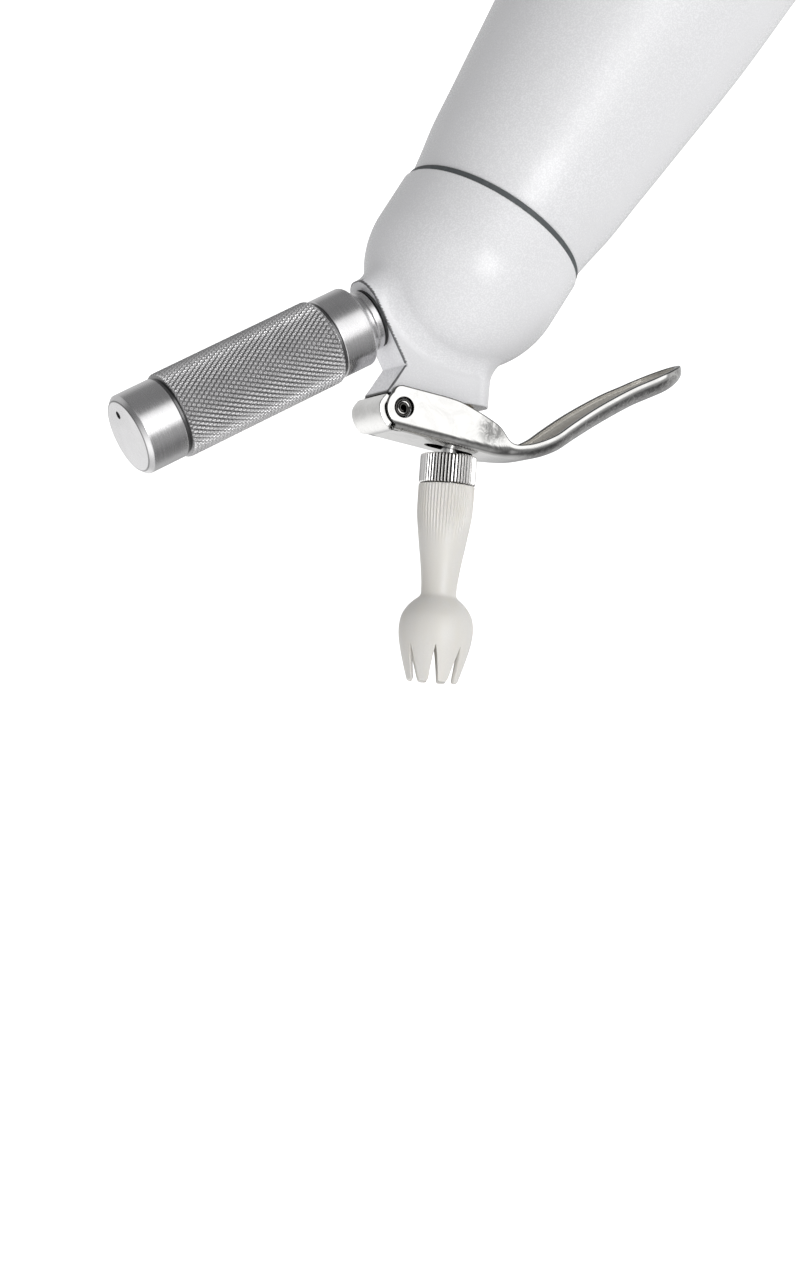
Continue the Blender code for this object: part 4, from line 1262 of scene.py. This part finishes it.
    # painted shade on the bend between cheeks and web, most of all at the cheek
    ny = np.abs(nrm[:, 1])
    band = np.zeros(len(allv))
    band[:outer_n] = smoothstep(ny, 0.08, 0.22) * (0.45 + 0.55 * smoothstep(ny, 0.3, 0.9)) \
        * smoothstep(ny, 0.996, 0.975) * smoothstep(co[:, 0], -26.0, -10.0) * (co[:, 2] > 40.0)
    ob = build("lever_sheet", allv, [p4, p3], NOZZLE, LEVER_STEEL, "lever", "lever", 45.0,
               marks={"lip": lip, "under": under, "inside": dish, "band": band})
    cv, cf = tube_cut(3.15, -20.0, 20.0, 64)
    boolean(ob, cv, cf, PIVOT, "lever_bores")
    ring = [(4.7 + 3.3 * math.cos(a), 3.3 * math.sin(a)) for a in np.radians(np.linspace(-90, 90, 25))] \
        + [(-4.0 + 3.3 * math.cos(a), 3.3 * math.sin(a)) for a in np.radians(np.linspace(90, 270, 25))]
    cv, cf = prism(ring, 46.0, 58.0)
    boolean(ob, cv, cf, NOZZLE, "stem_slot")
    ob.data.shade_smooth()
    ob.data.set_sharp_from_angle(angle=math.radians(45.0))
    return ob


def pin_piece():
    """Coiled spring pin: a strip rolled up in nearly three turns, with bevelled ends."""
    n = 200
    turn = np.linspace(0.0, 2.75, n)                     # turns from the outer end of the strip
    step = 0.62
    r = 2.33 - step * (np.floor(turn) + smoothstep(turn % 1.0, 0.80, 1.0))
    ang = math.radians(-150.0) + 2 * math.pi * turn
    mid = np.c_[r * np.cos(ang), r * np.sin(ang)]
    tan = np.gradient(mid, axis=0)
    tan /= np.linalg.norm(tan, axis=1)[:, None]
    side = np.c_[tan[:, 1], -tan[:, 0]]
    half = np.full(n, 0.26)
    half[0] = half[-1] = 0.12
    verts = []
    zs = [(-10.5, 0.45), (-10.42, 0.8), (-10.2, 1.0), (10.2, 1.0), (10.42, 0.8), (10.5, 0.45)]
    for z, k in zs:
        out_side = mid + side * (half * k)[:, None]
        in_side = mid - side * (half * k)[:, None]
        verts.append(np.c_[np.concatenate([out_side, in_side[::-1]]), np.full(2 * n, z)])
    c = 2 * n
    quads = []
    a = np.arange(c)
    b = (a + 1) % c
    for k in range(len(zs) - 1):
        quads.append(np.stack([k * c + a, k * c + b, (k + 1) * c + b, (k + 1) * c + a], 1))
    i = np.arange(n - 1)
    for k, flip in ((0, True), (len(zs) - 1, False)):
        q = np.stack([k * c + i, k * c + i + 1, k * c + (c - 2 - i), k * c + (c - 1 - i)], 1)
        quads.append(q[:, ::-1] if flip else q)
    # painted highlight: two bright arcs along the inner coil
    painted_glint = 0.9 * smoothstep(turn, 1.02, 1.08) * smoothstep(turn, 1.32, 1.24) \
        + 0.8 * smoothstep(turn, 1.52, 1.58) * smoothstep(turn, 1.80, 1.74)
    painted_glint = np.tile(np.concatenate([painted_glint, painted_glint[::-1]]), len(zs))
    build("spring_pin", np.concatenate(verts), [np.concatenate(quads)], PIVOT, PIN_STEEL, "head", "lever_pin",
          40.0, marks={"painted_shading": painted_glint})


bottle_piece()
head_gasket_piece()
head_piece()
washer_piece()
charger_adapter_piece()
holder_piece()
stem_piece()
collar_piece()
tip_piece()
lever_piece()
pin_piece()

# ---------------------------------------------------------------- camera
cam_right = Vector((-0.75803634, -0.40397977, -0.51203638))
cam_up = Vector((0.57027148, -0.02956461, -0.8209241))
cam_back = Vector((0.31649858, -0.91429004, 0.25278919))
cam = bpy.data.objects.new("camera", bpy.data.cameras.new("camera"))
bpy.context.scene.collection.objects.link(cam)
cam.data.sensor_fit = 'HORIZONTAL'
cam.data.sensor_width = 36.0
cam.data.lens = 144.0
cam.data.clip_start = 0.05
cam.data.clip_end = 60.0
rot = Matrix((cam_right, cam_up, cam_back)).transposed().to_4x4()
cam.matrix_world = Matrix.Translation((0.2528, -0.8588, 0.5074)) @ rot
bpy.context.scene.camera = cam

# ---------------------------------------------------------------- studio light and floor
# The light is a bright room: every entry is (direction, cosine where it starts, cosine where it is full, radiance).
# Directions are given as right, up and towards the viewer of the photograph, and turned into the model's axes here.
ROOM = [
    ((0.60, 0.30, 0.72), 0.84, 0.93, 0.85),
    ((0.55, 0.20, 0.80), 0.80, 0.95, 0.15),
    ((0.75, 0.00, 0.65), 0.50, 0.95, 0.20),
    ((0.42, -0.02, 0.91), 0.966, 0.988, 5.6),
    ((0.00, 0.80, -0.60), 0.60, 0.95, 0.07),
    ((-0.70, 0.10, -0.70), 0.50, 0.90, 0.50),
    ((-0.70, -0.65, 0.25), 0.78, 0.97, 0.88),
    ((-0.30, -0.75, -0.60), 0.60, 0.95, 0.62),
    ((0.80, 0.10, -0.60), 0.60, 0.95, 0.84),
    ((0.00, -0.85, 0.52), 0.75, 0.97, 0.85),
    ((-0.10, 0.00, 1.00), 0.60, 0.95, 0.45),
    ((0.60, 0.75, 0.10), 0.60, 0.95, 0.06),
]
AMBIENT = (0.20, 0.20, 0.203)


def world_light():
    world = bpy.data.worlds.new("studio")
    bpy.context.scene.world = world
    world.use_nodes = True
    t = world.node_tree
    t.nodes.clear()

    def node(kind, **props):
        n = t.nodes.new(kind)
        for k, v in props.items():
            setattr(n, k, v)
        return n

    coord = node("ShaderNodeTexCoord").outputs["Generated"]
    unit = node("ShaderNodeVectorMath", operation='NORMALIZE')
    t.links.new(coord, unit.inputs[0])

    def lobe(d, c0, c1, lo, hi):
        d = Vector(d).normalized()
        w = cam_right * d.x + cam_up * d.y + cam_back * d.z
        dot = node("ShaderNodeVectorMath", operation='DOT_PRODUCT')
        t.links.new(unit.outputs[0], dot.inputs[0])
        dot.inputs[1].default_value = w
        m = node("ShaderNodeMapRange", interpolation_type='SMOOTHSTEP')
        for k, v in (("From Min", c0), ("From Max", c1), ("To Min", lo), ("To Max", hi)):
            m.inputs[k].default_value = v
        t.links.new(dot.outputs["Value"], m.inputs["Value"])
        return m.outputs["Result"]

    total = None
    for d, c0, c1, rad in ROOM:
        s = node("ShaderNodeVectorMath", operation='SCALE')
        s.inputs[0].default_value = (rad, rad, rad)
        t.links.new(lobe(d, c0, c1, 0.0, 1.0), s.inputs["Scale"])
        add = node("ShaderNodeVectorMath", operation='ADD')
        t.links.new(s.outputs[0], add.inputs[0])
        if total is None:
            add.inputs[1].default_value = AMBIENT
        else:
            t.links.new(total, add.inputs[1])
        total = add.outputs[0]
    room = node("ShaderNodeBackground")
    t.links.new(total, room.inputs["Color"])
    plain = node("ShaderNodeBackground")
    plain.inputs["Color"].default_value = (1.0, 1.0, 1.0, 1.0)
    path = node("ShaderNodeLightPath")
    mix = node("ShaderNodeMixShader")
    t.links.new(path.outputs["Is Camera Ray"], mix.inputs["Fac"])
    t.links.new(room.outputs[0], mix.inputs[1])
    t.links.new(plain.outputs[0], mix.inputs[2])
    out = node("ShaderNodeOutputWorld")
    t.links.new(mix.outputs[0], out.inputs["Surface"])


def floor_piece():
    me = bpy.data.meshes.new("floor")
    bm = bmesh.new()
    bmesh.ops.create_grid(bm, x_segments=2, y_segments=2, size=25.0)
    bm.to_mesh(me)
    bm.free()
    ob = bpy.data.objects.new("floor", me)
    bpy.context.scene.collection.objects.link(ob)
    mat = bpy.data.materials.new("floor_finish")
    mat.use_nodes = True
    t = mat.node_tree
    t.nodes.clear()
    glow = t.nodes.new("ShaderNodeEmission")
    glow.inputs["Color"].default_value = (1.0, 1.0, 1.0, 1.0)
    glow.inputs["Strength"].default_value = 0.80
    matt = t.nodes.new("ShaderNodeBsdfDiffuse")
    matt.inputs["Color"].default_value = (0.55, 0.55, 0.55, 1.0)
    add = t.nodes.new("ShaderNodeAddShader")
    out = t.nodes.new("ShaderNodeOutputMaterial")
    t.links.new(glow.outputs[0], add.inputs[0])
    t.links.new(matt.outputs[0], add.inputs[1])
    t.links.new(add.outputs[0], out.inputs["Surface"])
    me.materials.append(mat)
    # the floor only shows; the pale surroundings below it light the object instead
    ob.visible_diffuse = False
    ob.visible_glossy = False
    ob.visible_transmission = False
    ob.visible_shadow = False


world_light()
floor_piece()
view = bpy.context.scene.view_settings
view.view_transform = 'Standard'
view.look = 'None'
view.exposure = 0.0
view.gamma = 1.0

bpy.context.view_layer.update()
